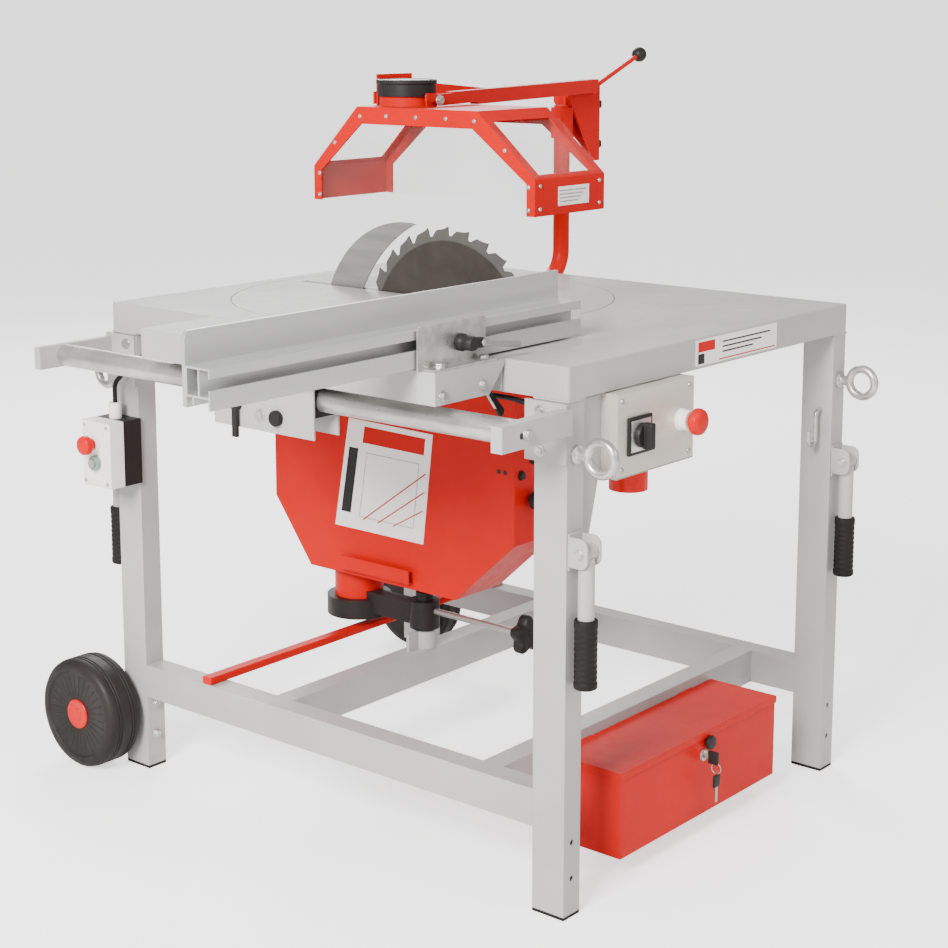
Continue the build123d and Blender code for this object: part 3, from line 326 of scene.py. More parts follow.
def lathe(profile, start, axis, steps=48):
    """A turned shape: (radius, height) pairs in mm, spun about the axis from its start."""
    shape = bmesh.new()
    rings = []
    for radius, height in profile:
        if radius < 1e-6:
            rings.append([shape.verts.new((0, 0, height * MM))])
            continue
        ring = []
        for step in range(steps):
            angle = tau * step / steps
            ring.append(shape.verts.new((radius * MM * cos(angle), radius * MM * sin(angle), height * MM)))
        rings.append(ring)
    for low, high in zip(rings, rings[1:]):
        for step in range(steps):
            after = (step + 1) % steps
            if len(low) == 1:
                corners = (low[0], high[after], high[step])
            elif len(high) == 1:
                corners = (low[step], low[after], high[0])
            else:
                corners = (low[step], low[after], high[after], high[step])
            shape.faces.new(corners)
    bmesh.ops.recalc_face_normals(shape, faces=shape.faces)
    shape.transform(Matrix.Translation(start) @ turn_to(axis))
    return mesh_from(shape, "turned")


def round_edges(shape, radius, steps):
    """Rounds every edge of a shape; the radius is in mm."""
    bmesh.ops.bevel(
        shape, geom=list(shape.edges), offset=radius * MM, segments=steps, affect="EDGES", profile=0.5)


def rounded_box(low, high, radius):
    """A box with every edge rounded; the radius is in mm."""
    shape = bmesh.new()
    bmesh.ops.create_cube(shape, size=1.0)
    size = high - low
    for vertex in shape.verts:
        vertex.co = Vector([low[i] + (vertex.co[i] + 0.5) * size[i] for i in range(3)])
    round_edges(shape, radius, 3)
    return mesh_from(shape, "rounded box")


def slab(outline, thickness, bevel=0.0):
    """A flat plate: an outline of points pulled along a thickness vector."""
    shape = bmesh.new()
    face = shape.faces.new([shape.verts.new(point) for point in outline])
    pulled = bmesh.ops.extrude_face_region(shape, geom=[face])
    moved = [item for item in pulled["geom"] if isinstance(item, bmesh.types.BMVert)]
    bmesh.ops.translate(shape, verts=moved, vec=thickness)
    bmesh.ops.recalc_face_normals(shape, faces=shape.faces)
    if bevel:
        round_edges(shape, bevel, 2)
    return mesh_from(shape, "plate")


def tube(points, radius):
    """A round wire along points; the radius is in mm."""
    curve = bpy.data.curves.new("wire", "CURVE")
    curve.dimensions = "3D"
    curve.bevel_depth = radius * MM
    curve.bevel_resolution = 5
    curve.use_fill_caps = True
    line = curve.splines.new("POLY")
    line.points.add(len(points) - 1)
    for point, place in zip(line.points, points):
        point.co = (*place, 1)
    holder = bpy.data.objects.new("wire", curve)
    mesh = bpy.data.meshes.new_from_object(holder)
    bpy.data.objects.remove(holder)
    return mesh


def loop(centre, normal, major, minor, steps=56, around=14):
    """A closed ring of round wire."""
    shape = bmesh.new()
    rings = []
    for step in range(steps):
        angle = tau * step / steps
        ring = []
        for side in range(around):
            tilt = tau * side / around
            reach = (major + minor * cos(tilt)) * MM
            ring.append(shape.verts.new((reach * cos(angle), reach * sin(angle), minor * MM * sin(tilt))))
        rings.append(ring)
    for step in range(steps):
        low, high = rings[step], rings[(step + 1) % steps]
        for side in range(around):
            after = (side + 1) % around
            shape.faces.new((low[side], high[side], high[after], low[after]))
    bmesh.ops.recalc_face_normals(shape, faces=shape.faces)
    shape.transform(Matrix.Translation(centre) @ turn_to(normal))
    return mesh_from(shape, "ring")


def hex_bolt(place, axis, across=8.0, height=5.0):
    """A washer and a chamfered hexagon head standing on a face."""
    rim = [(0, 0), (across * 1.25, 0), (across * 1.3, 0.4), (across * 1.25, 1.4), (0, 1.4)]
    head = [(0, 1.2), (across, 1.2), (across, height - 0.8), (across * 0.9, height), (across * 0.3, height),
            (0, height - 0.4)]
    return [lathe(rim, place, axis), lathe(head, place, axis, steps=6)]


def pan_screw(place, axis, radius=4.0):
    """A domed screw or rivet head with a shallow recess."""
    dome = [(radius, 0), (radius, 0.4), (radius * 0.86, radius * 0.34), (radius * 0.5, radius * 0.52),
            (radius * 0.32, radius * 0.54), (radius * 0.24, radius * 0.3), (0, radius * 0.28)]
    return lathe(dome, place, axis, steps=20)


# ---------------------------------------------------------------- wheels
GROOVE_DEPTH = 1.6  # mm
WHEEL_RIBS = 30
for node, body, outward in (("wheel_left", "wheel_l", -X), ("wheel_right", "wheel_r", X)):
    low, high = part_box(node)
    centre = (low + high) / 2
    radius = (high.z - low.z) / 2 / MM
    half = (high.x - low.x) / 2 / MM
    tread = [(78, half - 2.6), (80, half - 0.4), (86, half), (94, half - 2.6), (98.6, half - 8),
             (radius, half - 15)]
    for groove in (17.0, 23.0):
        edge = half - groove
        tread += [(radius, edge), (radius - GROOVE_DEPTH, edge - 1), (radius - GROOVE_DEPTH, edge - 2.4),
                  (radius, edge - 3.4)]
    back = [(reach, -height) for reach, height in reversed(tread)]
    hub = [(10.4, half - 4), (30, half - 4), (31, half - 3.4), (75, half - 3.4)]
    far_hub = [(75, 3.4 - half), (31, 3.4 - half), (30, 4 - half), (10.4, 4 - half), (10.4, half - 4)]
    wheel = lathe([*hub, *tread, *back, *far_hub], centre, outward, steps=96)
    ribs = []
    for rib in range(WHEEL_RIBS):
        angle = tau * rib / WHEEL_RIBS
        reach = Vector((0, cos(angle), sin(angle)))
        across = Vector((0, -sin(angle), cos(angle)))
        face = centre + outward * (half - 3.6) * MM
        outline = [face + reach * r * MM + across * w * MM
                   for r, w in ((33, -0.7), (72, -1.1), (72, 1.1), (33, 0.7))]
        ribs.append(slab(outline, outward * 0.6 * MM, 0.1))
    finish_piece(node + "_tyre", joined(node, [wheel, *ribs]), "tyre", body, stands_for=(node,))
    cap_at = centre + outward * (half - 4) * MM
    cap = [(27, -4), (27, 1.2), (25.8, 2.6), (23, 3.0), (21.5, 2.2), (12, 2.2), (11, 3.2), (0, 3.6)]
    finish_piece(node + "_cap", lathe(cap, cap_at, outward), "red_plastic", body)

# ---------------------------------------------------------------- folding carry handles
EYE_DROP = 12.5  # mm from a hanging handle's top to the pin that it turns on
BORE_CLEARANCE = 6.2  # mm from that pin's centre to the end of the handle's shank, clear of the bore
handle_bodies = {"handle_front_left": "handle_fl", "handle_back_left": "handle_bl",
                 "handle_front_right": "handle_fr", "handle_back_right": "handle_br"}
for node, body in handle_bodies.items():
    low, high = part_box(node)
    centre = (low + high) / 2
    foot = Vector((centre.x, centre.y, low.z))
    length = (high.z - low.z) / MM
    grip = [(0, 0), (15.5, 0), (17.6, 1.4), (18, 3), (18, 10), (16.8, 11.5)]
    for rib in range(9):
        height = 14 + rib * 8.6
        grip += [(16.9, height), (17.5, height + 1.2), (17.5, height + 4.8), (16.9, height + 6.2)]
    grip += [(17.6, 94), (18, 96), (18, 103), (17, 105.5), (12.7, 106)]
    finish_piece(node + "_grip", lathe(grip, foot, UP), "black_rubber", body, stands_for=(node,))
    end = length - EYE_DROP - BORE_CLEARANCE
    shank = lathe([(0, 100), (12.5, 100), (12.5, end - 1.3), (10.4, end), (0, end)], foot, UP)
    eye_at = Vector((centre.x - 13 * MM, centre.y, high.z - EYE_DROP * MM))
    eye = lathe([(5.2, 0), (11.6, 0), (12.5, 1), (12.5, 25), (11.6, 26), (5.2, 26), (5.2, 0)], eye_at, X)
    finish_piece(node + "_tube", joined(node, [shank, eye]), "grey_paint", body)

# ---------------------------------------------------------------- the handles' brackets and their bolts
PIN_REACH = 22  # mm from the leg's face to the pin
CORNER = 14  # mm, the rounding of each cheek
CORNER_STEPS = 12
plates, bolts = [], []
pin_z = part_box("handle_front_left")[1].z - EYE_DROP * MM
for low, high in solids("handle_brackets"):
    out = -Y if low.y < table_low.y else Y
    face_y = high.y if out.y < 0 else low.y
    reach = (high.y - low.y) / MM
    foot = Vector(((low.x + high.x) / 2, face_y, 0))
    near, far = sorted((face_y, face_y + out.y * 3 * MM))
    plates.append(rounded_box(Vector((low.x, near, low.z)), Vector((high.x, far, high.z)), 0.8))
    base, top = low.z / MM + 6, high.z / MM - 4
    turn = [pi / 2 * step / CORNER_STEPS for step in range(CORNER_STEPS + 1)]
    inner = reach - CORNER
    cheek = [(2, base), (inner, base)]
    cheek += [(inner + CORNER * sin(angle), base + CORNER - CORNER * cos(angle)) for angle in turn]
    cheek += [(inner + CORNER * cos(angle), top - CORNER + CORNER * sin(angle)) for angle in turn]
    cheek.append((2, top))
    for side in (-18, 14):
        outline = [foot + Vector((side * MM, out.y * across * MM, height * MM)) for across, height in cheek]
        plates.append(slab(outline, X * 4 * MM, 0.6))
    pin_y = face_y + out.y * PIN_REACH * MM
    pin_start = Vector((low.x + 1 * MM, pin_y, pin_z))
    bolts.append(lathe([(0, 0), (4.8, 0), (4.8, 34), (0, 34)], pin_start, X, 32))
    bolts += hex_bolt(Vector((low.x, pin_y, pin_z)), -X, 6.4, 5.0)
    bolts += hex_bolt(Vector((high.x, pin_y, pin_z)), X, 6.4, 5.0)
finish_piece("handle_clips", joined("handle_clips", plates), "grey_paint", "frame",
             stands_for=("handle_brackets",))
finish_piece("handle_bolts", joined("handle_bolts", bolts), "galvanised", "frame")

# ---------------------------------------------------------------- lashing eyes
EYE_RING = 24  # mm, from the ring's centre to the middle of its wire
EYE_WIRE = 7  # mm, the wire's radius
EYE_SHANK = [(0, 0), (13.5, 0), (14, 1), (14, 5), (12, 6.5), (9, 8), (8, 12), (9.5, 18), (10, 23), (0, 23)]
pieces = []
for low, high in solids("eye_bolts"):
    centre_x = (low.x + high.x) / 2
    outward = -Y if low.y < table_low.y else Y
    tip, root = (low.y, high.y) if outward.y < 0 else (high.y, low.y)
    centre = Vector((centre_x, tip - outward.y * (EYE_RING + EYE_WIRE) * MM, (low.z + high.z) / 2))
    pieces.append(loop(centre, X, EYE_RING, EYE_WIRE))
    pieces.append(lathe(EYE_SHANK, Vector((centre_x, root, centre.z)), outward))
finish_piece("lashing_eyes", joined("lashing_eyes", pieces), "galvanised", "frame",
             stands_for=("eye_bolts",))

# ---------------------------------------------------------------- bolts and screws on the frame
pieces = []
for low, high in solids("frame_bolts"):
    centre = (low + high) / 2
    size = high - low
    if size.x < size.y and size.x < size.z:
        pieces += hex_bolt(Vector((high.x, centre.y, centre.z)), -X, 7.2, 6.0)
    elif centre.y < table_low.y + 0.2 or centre.y < table_high.y - 0.02:
        pieces += hex_bolt(Vector((centre.x, high.y, centre.z)), -Y, 7.2, 6.0)
    else:
        pieces += hex_bolt(Vector((centre.x, low.y, centre.z)), Y, 7.2, 6.0)
finish_piece("frame_bolt_heads", joined("frame_bolt_heads", pieces), "galvanised", "frame",
             stands_for=("frame_bolts",))

bracket_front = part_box("guide_brackets")[0].y
end_bolt = min(solids("frame_bolts"), key=lambda b: (round(b[0].y, 3), b[0].x))
slot_at = Vector((end_bolt[0].x, bracket_front - 0.3 * MM, (end_bolt[0].z + end_bolt[1].z) / 2))
# a thin black ink sheet on the guide bracket's face stands in for the slot: painted shade where the opening
# would be dark
slot_shade_outline = [slot_at + Vector((x, 0, z)) * MM for x, z in
                ((-9, -3), (-7, -4.5), (6, -4.5), (6, 4.5), (-7, 4.5), (-9, 3))]
slot_shade = slab(slot_shade_outline, Vector((0, 0.3, 0)) * MM)
finish_piece("bracket_slot_shade", slot_shade, "decal_ink", "frame")

# ---------------------------------------------------------------- switch box and remote box
low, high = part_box("switch_box")
box_top = at(0, 0, 798).z
screws = []
for x in (low.x + 12 * MM, high.x - 12 * MM):
    for z in (low.z + 12 * MM, box_top - 12 * MM):
        screws.append(pan_screw(Vector((x, low.y, z)), -Y, 4.2))
cover_lip = rounded_box(Vector((low.x - 0.8 * MM, low.y, low.z - 0.8 * MM)),
                        Vector((high.x + 0.8 * MM, low.y + 28 * MM, low.z + 1.2 * MM)), 0.3)
finish_piece("switch_box_screws", joined("switch_box_screws", screws), "machined", "frame")
finish_piece("switch_box_lip", cover_lip, "stainless", "frame")

low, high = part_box("remote_cover")
boss_reach = 8 * MM
screws = []
for y in (low.y + 8 * MM, high.y - 8 * MM):
    for z in (low.z + 8 * MM, high.z - 8 * MM):
        screws.append(pan_screw(Vector((low.x + boss_reach, y, z)), -X, 3.4))
start = middle("remote_start")
bezel = lathe([(8.6, 0), (12.9, 0), (12.9, 7.6), (12.2, 8.6), (8.6, 8.6), (8.6, 0)],
              Vector((low.x + boss_reach, start.y, start.z)), -X, 40)
finish_piece("start_bezel", bezel, "green_plastic", "frame")
finish_piece("remote_box_screws", joined("remote_box_screws", screws), "machined", "frame")

for node, body, axis in (("main_estop", "stop_button", -Y), ("remote_estop", "remote_stop", -X)):
    low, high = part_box(node)
    centre = (low + high) / 2
    reach = (high.y - low.y if axis.y else high.x - low.x) / MM
    radius = (high.z - low.z) / 2 / MM
    start = Vector((centre.x, high.y, centre.z)) if axis.y else Vector((high.x, centre.y, centre.z))
    dome = [(0, 0), (8.9, 0), (8.9, reach - 18), (radius - 5, reach - 17.8),
            (radius - 0.8, reach - 15.4), (radius, reach - 13), (radius, reach - 9),
            (radius - 1.2, reach - 4.5), (radius - 5, reach - 1.4), (radius - 9, reach - 0.2), (0, reach)]
    finish_piece(node + "_mushroom", lathe(dome, start, axis, 64), "red_plastic", body, stands_for=(node,))

low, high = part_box("switch_knob")
centre = (low + high) / 2
dial_at = Vector((centre.x, high.y, centre.z))
dial_shape = [(0, 0), (5, 0), (5, 13.2), (17, 13.3), (19, 14.5), (19, 20), (17.8, 22.2), (0, 22.4)]
dial = lathe(dial_shape, dial_at, -Y)
handle = rounded_box(Vector((centre.x - 6 * MM, low.y, low.z + 1 * MM)),
                     Vector((centre.x + 6 * MM, low.y + 18 * MM, high.z - 1 * MM)), 2.6)
finish_piece("rotary_knob", joined("rotary_knob", [dial, handle]), "black_plastic", "rotary",
             stands_for=("switch_knob",))
face_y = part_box("switch_box")[0].y
plate = rounded_box(Vector((centre.x - 30 * MM, face_y - 5 * MM, centre.z - 29 * MM)),
                    Vector((centre.x + 30 * MM, face_y, centre.z + 29 * MM)), 1.6)
finish_piece("rotary_plate", plate, "black_plastic", "frame", stands_for=("panel_plates",))
dial_face = rounded_box(Vector((centre.x - 25 * MM, face_y - 5.5 * MM, centre.z - 24 * MM)),
                        Vector((centre.x + 25 * MM, face_y - 4.8 * MM, centre.z + 24 * MM)), 0.3)
finish_piece("rotary_face", dial_face, "galvanised", "frame")
stop = middle("main_estop")
collar = lathe([(9.2, 0), (17.4, 0), (17.4, 3), (16, 4), (16, 16.5), (15, 18), (9.2, 18), (9.2, 0)],
               Vector((stop.x, face_y, stop.z)), -Y, 64)
finish_piece("stop_collar", collar, "cream_plastic", "frame")

# ---------------------------------------------------------------- the swivel clamp's star knob and rod
STAR_STEPS = 100
STAR_ARMS = 5
low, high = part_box("clamp_knob")
shape = bmesh.new()
star_rings = []
knob_centre = Vector(((low.x + high.x) / 2, low.y, at(0, 0, 268).z))
for depth, share in ((0, 0.80), (2, 0.93), (5, 1.0), (18, 1.0), (22, 0.94), (24, 0.82)):
    ring = []
    for step in range(STAR_STEPS):
        angle = tau * step / STAR_STEPS
        reach = (30.5 + 5.3 * cos(STAR_ARMS * (angle - pi / 2))) * share * MM
        offset = Vector((reach * cos(angle), depth * MM, reach * sin(angle)))
        ring.append(shape.verts.new(knob_centre + offset))
    star_rings.append(ring)
for first, second in zip(star_rings, star_rings[1:]):
    for step in range(STAR_STEPS):
        after = (step + 1) % STAR_STEPS
        shape.faces.new((first[step], first[after], second[after], second[step]))
shape.faces.new(star_rings[0])
shape.faces.new(star_rings[-1])
bmesh.ops.recalc_face_normals(shape, faces=shape.faces)
star = mesh_from(shape, "star")
finish_piece("clamp_star", star, "black_plastic", "swivel_clamp", stands_for=("clamp_knob",))
rod_length = (high.y - low.y) / MM - 22
rod_shape = [(0, 0), (6, 0), (6, rod_length - 1), (5, rod_length), (0, rod_length)]
rod = lathe(rod_shape, knob_centre + Y * 22 * MM, Y, 32)
finish_piece("clamp_rod", rod, "machined", "swivel_clamp")

# ---------------------------------------------------------------- labels, all without lettering
def decal(name, corners, normal, look, body, lift=0.3):
    """A thin printed patch lying on a face."""
    raised = [corner + normal * (lift - 0.2) * MM for corner in corners]
    return finish_piece(name, slab(raised, normal * 0.2 * MM), look, body)


cover_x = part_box("housing_cover")[0].x + 13.5 * MM


def on_cover(y, z):
    """A place on the housing cover's outer face."""
    place = at(0, y, z)
    return Vector((cover_x, place.y, place.z))


sheet = [(761, 620), (557, 616), (581, 411), (799, 412)]


def on_sheet(u, v):
    """A place on the label: u along it from left to right, v up it, both from 0 to 1."""
    (ay, az), (by, bz), (cy, cz), (dy, dz) = sheet
    y = (1 - v) * ((1 - u) * dy + u * cy) + v * ((1 - u) * ay + u * by)
    z = (1 - v) * ((1 - u) * dz + u * cz) + v * ((1 - u) * az + u * bz)
    return on_cover(y, z)


def patch(name, corners, look, lift):
    """A printed patch on the housing label."""
    decal(name, [on_sheet(u, v) for u, v in corners], -X, look, "turntable", lift)


patch("label_sheet", [(0, 0), (1, 0), (1, 1), (0, 1)], "decal_white", 0.3)
patch("label_red_bar", [(0.20, 0.80), (0.92, 0.80), (0.92, 0.95), (0.20, 0.95)], "red_paint", 0.45)
patch("label_black_bar", [(0.05, 0.14), (0.16, 0.14), (0.16, 0.74), (0.05, 0.74)], "decal_ink", 0.45)
patch("label_frame", [(0.26, 0.12), (0.88, 0.12), (0.88, 0.72), (0.26, 0.72)], "galvanised", 0.45)
patch("label_field", [(0.27, 0.13), (0.87, 0.13), (0.87, 0.71), (0.27, 0.71)], "decal_white", 0.6)
for stripe in range(3):
    start = 0.30 + 0.17 * stripe
    end = 0.64 - 0.17 * stripe
    corners = [(start, 0.10), (start + 0.02, 0.10), (0.97, end), (0.95, end)]
    patch("label_stripe_" + str(stripe), corners, "red_paint", 0.75)

apron_y = table_low.y
label_x = (329.0, 573.0)


def on_apron(x, z):
    """A place on the front skirt."""
    place = at(x, 0, z)
    return Vector((place.x, apron_y, place.z))


def apron_patch(name, x, z, look, lift):
    """A printed rectangle on the front skirt."""
    corners = [on_apron(x[0], z[0]), on_apron(x[1], z[0]), on_apron(x[1], z[1]), on_apron(x[0], z[1])]
    decal(name, corners, -Y, look, "frame", lift)


apron_patch("plate_sheet", label_x, (804, 846), "decal_white", 0.3)
apron_patch("plate_mark", (label_x[0] + 8, label_x[0] + 56), (826, 842), "red_paint", 0.45)
apron_patch("plate_block", (label_x[0] + 8, label_x[0] + 26), (807, 823), "decal_ink", 0.45)
apron_patch("plate_rule", (label_x[0] + 68, label_x[1] - 6), (807, 809), "red_paint", 0.45)
for row in range(3):
    line_x = (label_x[0] + 78, label_x[1] - 22 - 26 * row)
    apron_patch("plate_line_" + str(row), line_x, (834 - 8 * row, 836.5 - 8 * row), "decal_ink", 0.45)

hood_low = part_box("hood_frame")[0]
end_y = hood_low.y


def hood_patch(name, x, z, look, lift):
    """A printed rectangle on the hood's front end plate."""
    corners = [Vector((hood_low.x + a * MM, end_y, hood_low.z + b * MM)) for a, b in
               ((x[0], z[0]), (x[1], z[0]), (x[1], z[1]), (x[0], z[1]))]
    decal(name, corners, -Y, look, "hood", lift)


hood_patch("hood_sheet", (62, 148), (14, 46), "decal_white", 0.3)
for row in range(4):
    line_z = (38 - 6 * row, 40 - 6 * row)
    hood_patch("hood_line_" + str(row), (66, 140 - 8 * row), line_z, "galvanised", 0.45)

# ---------------------------------------------------------------- hood rivets
rivets = []
side = hood_low.x
for y, z in ((322, 1030), (322, 1068), (798, 1030), (798, 1068), (438, 1172), (500, 1174),
             (568, 1174), (636, 1174), (698, 1172), (372, 1126), (760, 1124)):
    place = at(0, y, z)
    rivets.append(pan_screw(Vector((side, place.y, place.z)), -X, 4.0))
for x in (14, 178):
    for z in (12, 50):
        rivets.append(pan_screw(Vector((side + x * MM, end_y, hood_low.z + z * MM)), -Y, 3.6))
finish_piece("hood_rivets", joined("hood_rivets", rivets), "galvanised", "hood")

# ---------------------------------------------------------------- dust cap
low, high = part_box("dust_cap")
centre = (low + high) / 2
height = (high.z - low.z) / MM
cap_foot = Vector((centre.x, centre.y, low.z))
wall = lathe([(49, 0), (52, 0), (52, height - 8), (54, height - 7), (54, height - 1), (52, height),
              (47, height), (47, height - 3), (49, height - 4), (49, 0)], cap_foot, UP, 96)
finish_piece("port_ring", wall, "black_plastic", "port_cap", stands_for=("dust_cap",))
lid = lathe([(0, height - 3.4), (47.2, height - 3.4), (47.2, height - 1.2), (44, height - 0.8),
             (0, height - 0.6)], cap_foot, UP, 96)
finish_piece("port_lid", lid, "lid_blue", "port_cap")

# ---------------------------------------------------------------- carriage bolts
pieces = []
low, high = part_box("crosscut_carriage")
for x, z in ((17, 814), (106, 818)):
    pieces += hex_bolt(Vector((low.x + x * MM, low.y, z * MM)), -Y, 7.0, 5.5)
hanger_x = at(-133, 0, 0).x
pieces += hex_bolt(Vector((hanger_x, at(0, 496, 0).y, 0.735)), -X, 8.0, 6.0)
finish_piece("carriage_bolts", joined("carriage_bolts", pieces), "galvanised", "carriage")
plug = lathe([(0, 0), (12, 0), (12.5, 1.5), (12.5, 7), (11, 9), (0, 9.4)],
             Vector((hanger_x, at(0, 458, 0).y, 0.736)), -X)
finish_piece("carriage_plug", plug, "black_plastic", "carriage")

# ---------------------------------------------------------------- fence clamp
low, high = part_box("fence_lever")
hub_at = at(-76, 0, 882)
hub_back = Vector((hub_at.x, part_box("fence_bracket")[1].y - 3.4 * MM, hub_at.z))
hub_shape = [(0, 0), (12, 0), (13, 1.5), (13, 8), (11, 11), (11, 26), (9.6, 29), (0, 29.6)]
hub_core = lathe(hub_shape, hub_back, -Y, 40)
hub_block = rounded_box(hub_back + Vector((-12, -28, -9)) * MM, hub_back + Vector((26, -14, 7)) * MM, 4.5)
finish_piece("clamp_hub", joined("clamp_hub", [hub_core, hub_block]), "black_plastic", "fence_clamp",
             stands_for=("fence_lever",))
lever_start = hub_back + Vector((20, -23, -2)) * MM
lever_end = Vector((high.x - 1 * MM, hub_back.y - 27 * MM, low.z + 6 * MM))
lever_line = lever_end - lever_start
lever_length = lever_line.length / MM
lever = lathe([(0, 0), (4.2, 0), (4.6, lever_length - 1.5), (3.6, lever_length), (0, lever_length)],
              lever_start, lever_line, 24)
pin = lathe([(0, 0), (5, 0), (4.6, 2), (3, 3.4), (0, 3.8)], lever_start + Vector((2, -5, 1)) * MM, -Y, 24)
finish_piece("clamp_lever", joined("clamp_lever", [lever, pin]), "machined", "fence_clamp")
low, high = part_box("fence_bracket")
pieces = hex_bolt(Vector((low.x + 33 * MM, low.y + 11 * MM, low.z + 3.3 * MM)), UP, 8.0, 6.5)
pieces += hex_bolt(Vector((high.x - 18 * MM, low.y + 11 * MM, low.z + 3.3 * MM)), UP, 7.0, 6.0)
finish_piece("bracket_bolts", joined("bracket_bolts", pieces), "galvanised", "carriage")
stop_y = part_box("crosscut_carriage")[0].y
outline = [Vector((at(x, 0, 0).x, stop_y + 2.8 * MM, z * MM)) for x, z in
           ((-47, 816), (-40, 816), (0.3, 774), (0.3, 766.6), (-7.4, 763.6))]
sleeve = slab(outline, Vector((0, 5.4, 0)) * MM, 0.3)
finish_piece("stop_sleeve", sleeve, "black_rubber", "carriage")

# ---------------------------------------------------------------- hood fittings
pivot = at(400, 587, 1200)
arm_bolt = joined("arm_bolt", hex_bolt(pivot, -Y, 7.5, 6.0))
finish_piece("arm_bolt", arm_bolt, "galvanised", "hood_lift_arms")
bracket_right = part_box("hood_bracket")[1].x
nut_y = at(0, 676, 0).y
nut_shape = [(0, -15), (11.6, -15), (11.6, -1), (10.6, 0.2), (0, 0.4)]
nuts = [lathe(nut_shape, Vector((bracket_right, nut_y, z * MM)), X, 6) for z in (1092, 1171)]
finish_piece("bracket_nuts", joined("bracket_nuts", nuts), "black_plastic", "hood_swivel")

# ---------------------------------------------------------------- housing fittings
low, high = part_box("blade_housing")
pieces = []
for x, z in ((363, 567), (395, 590), (375, 640)):
    pieces += hex_bolt(Vector((at(x, 0, 0).x, low.y, z * MM)), -Y, 7.0, 5.5)
finish_piece("housing_bolts", joined("housing_bolts", pieces), "black_plastic", "turntable")
# two thin black ink discs on the cover are painted shade standing in for the dark insides of two holes
hole_shades = [lathe([(0, 0), (4.4, 0), (4.4, 0.25), (0, 0.25)], on_cover(y, 572), -X, 20) for y in (393, 407)]
finish_piece("housing_hole_shades", joined("housing_hole_shades", hole_shades), "decal_ink", "turntable")

# ---------------------------------------------------------------- weld beads round the leg tops
BEAD_STEPS = 12
beads = []
for low, high in solids("legs"):
    if high.z - low.z < 0.5:
        continue
    left, right = low.x - 0.4 * MM, low.x + 40.4 * MM
    front, back = low.y - 0.4 * MM, low.y + 60.4 * MM
    level = high.z - 1.6 * MM
    corners = [(left, front), (right, front), (right, back), (left, back), (left, front)]
    path = []
    for (x0, y0), (x1, y1) in zip(corners, corners[1:]):
        for step in range(BEAD_STEPS):
            share = step / BEAD_STEPS
            ripple = 0.5 * MM * cos(step * 2.4)
            path.append(Vector((x0 + (x1 - x0) * share, y0 + (y1 - y0) * share, level + ripple)))
    beads.append(tube([*path, path[0]], 1.9))
finish_piece("weld_beads", joined("weld_beads", beads), "grey_paint", "frame")

# ---------------------------------------------------------------- toolbox
low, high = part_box("toolbox")
lid_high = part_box("toolbox_lid")[1]
knob = lathe([(0, 0), (9, 0), (11.5, 2), (12, 6), (10.5, 9), (0, 10)], at(412, 13, 160), -Y)
finish_piece("toolbox_catch", knob, "black_plastic", "frame")
lock_face = lathe([(4.3, 0), (10.3, 0), (10.3, 2.4), (9.0, 3.2), (4.3, 3.2), (4.3, 0)],
                  Vector((at(400, 0, 0).x, low.y + 3 * MM, 140 * MM)), -Y, 40)
finish_piece("lock_face", lock_face, "galvanised", "frame")
key_low, key_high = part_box("lock_key")
key_mid = (key_low + key_high) / 2
bow = rounded_box(Vector((key_mid.x - 3 * MM, key_low.y, key_mid.z - 11 * MM)),
                  Vector((key_mid.x + 3 * MM, key_low.y + 19 * MM, key_mid.z + 11 * MM)), 2.0)
finish_piece("key_bow", bow, "black_plastic", "key", stands_for=("lock_key",))
blade = rounded_box(Vector((key_mid.x - 1.5 * MM, key_low.y + 17 * MM, key_mid.z - 4 * MM)),
                    Vector((key_mid.x + 1.5 * MM, key_high.y, key_mid.z + 4 * MM)), 0.4)
ring_at = Vector((key_mid.x, key_low.y + 4 * MM, key_mid.z - 17 * MM))
key_ring = loop(ring_at, X, 9, 0.9, 40, 8)
spare_bow = rounded_box(ring_at + Vector((-8, -3, -32)) * MM, ring_at + Vector((10, 2, -11)) * MM, 2.2)
finish_piece("spare_key_bow", spare_bow, "black_plastic", "key")
spare_blade = rounded_box(ring_at + Vector((-2, -1.5, -58)) * MM, ring_at + Vector((4, 0.3, -31)) * MM, 0.4)
finish_piece("key_blade", joined("key_blade", [blade, key_ring, spare_blade]), "machined", "key")
hinge_y = lid_high.y - 1 * MM
knuckles = []
for x in (low.x + 60 * MM, high.x - 100 * MM):
    start = Vector((x, hinge_y, lid_high.z - 1.5 * MM))
    knuckles.append(lathe([(0, 0), (3, 0), (3, 40), (0, 40)], start, X, 20))
finish_piece("lid_hinges", joined("lid_hinges", knuckles), "red_paint", "frame")

# ---------------------------------------------------------------- studio
FLOOR_HALF = 14.0  # m
FLOOR_GLOW = 1.3  # what whitens the floor in a picture without lighting the saw from below
SKY_LIGHT = 0.70
SKY_SEEN = 2.0


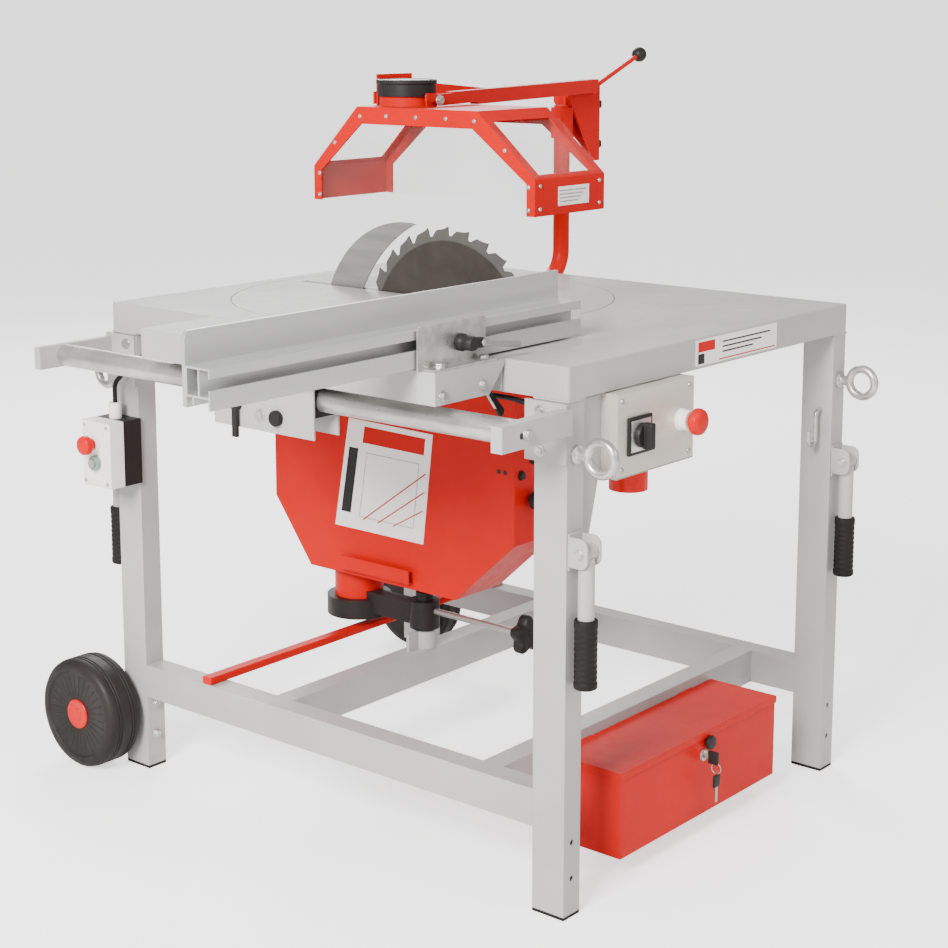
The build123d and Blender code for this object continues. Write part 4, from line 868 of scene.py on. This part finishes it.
def seen_only(nodes, link, lit, seen):
    """A strength with one value for the light that it gives and another for how bright it is seen."""
    path = nodes.new("ShaderNodeLightPath")
    strength = nodes.new("ShaderNodeMapRange")
    strength.inputs["To Min"].default_value = lit
    strength.inputs["To Max"].default_value = seen
    link(path.outputs["Is Camera Ray"], strength.inputs["Value"])
    return strength.outputs["Result"]


floor_mesh = bpy.data.meshes.new("floor")
floor_shape = bmesh.new()
bmesh.ops.create_grid(floor_shape, x_segments=1, y_segments=1, size=FLOOR_HALF)
floor_shape.to_mesh(floor_mesh)
floor_shape.free()
floor = bpy.data.objects.new("floor", floor_mesh)
bpy.context.scene.collection.objects.link(floor)
floor_look, floor_nodes, floor_link, floor_shader = new_material("floor")
tone = spread(floor_nodes, floor_link, noise(floor_nodes, floor_link, 0.7), 0, 1)
floor_link(blend_colours(floor_nodes, floor_link, tone, (0.93, 0.925, 0.92), (0.95, 0.945, 0.94)),
           floor_shader.inputs["Base Color"])
floor_shader.inputs["Roughness"].default_value = 0.7
floor_shader.inputs["Specular IOR Level"].default_value = 0.1
floor_shader.inputs["Emission Color"].default_value = (1.0, 0.99, 0.985, 1)
floor_glow = seen_only(floor_nodes, floor_link, 0.0, FLOOR_GLOW)
floor_link(floor_glow, floor_shader.inputs["Emission Strength"])
floor_mesh.materials.append(floor_look)

world = bpy.data.worlds.new("studio")
bpy.context.scene.world = world
world.use_nodes = True
sky = world.node_tree.nodes["Background"]
sky.inputs["Color"].default_value = (1.0, 0.99, 0.985, 1)
sky_link = world.node_tree.links.new
sky_link(seen_only(world.node_tree.nodes, sky_link, SKY_LIGHT, SKY_SEEN), sky.inputs["Strength"])


def softbox(name, place, aim, size, power):
    """A square area light aimed at a point."""
    data = bpy.data.lights.new(name, "AREA")
    data.shape = "SQUARE"
    data.size = size
    data.energy = power
    lamp = bpy.data.objects.new(name, data)
    lamp.location = place
    lamp.rotation_euler = (Vector(aim) - Vector(place)).to_track_quat("-Z", "Y").to_euler()
    bpy.context.scene.collection.objects.link(lamp)


softbox("key", (-4.4, -1.2, 3.2), (0, 0, 0.5), 1.8, 620)
softbox("front", (0.8, -4.6, 2.8), (0, 0, 0.5), 2.0, 60)
softbox("rim", (2.8, 3.0, 3.4), (0, 0, 0.8), 2.2, 200)
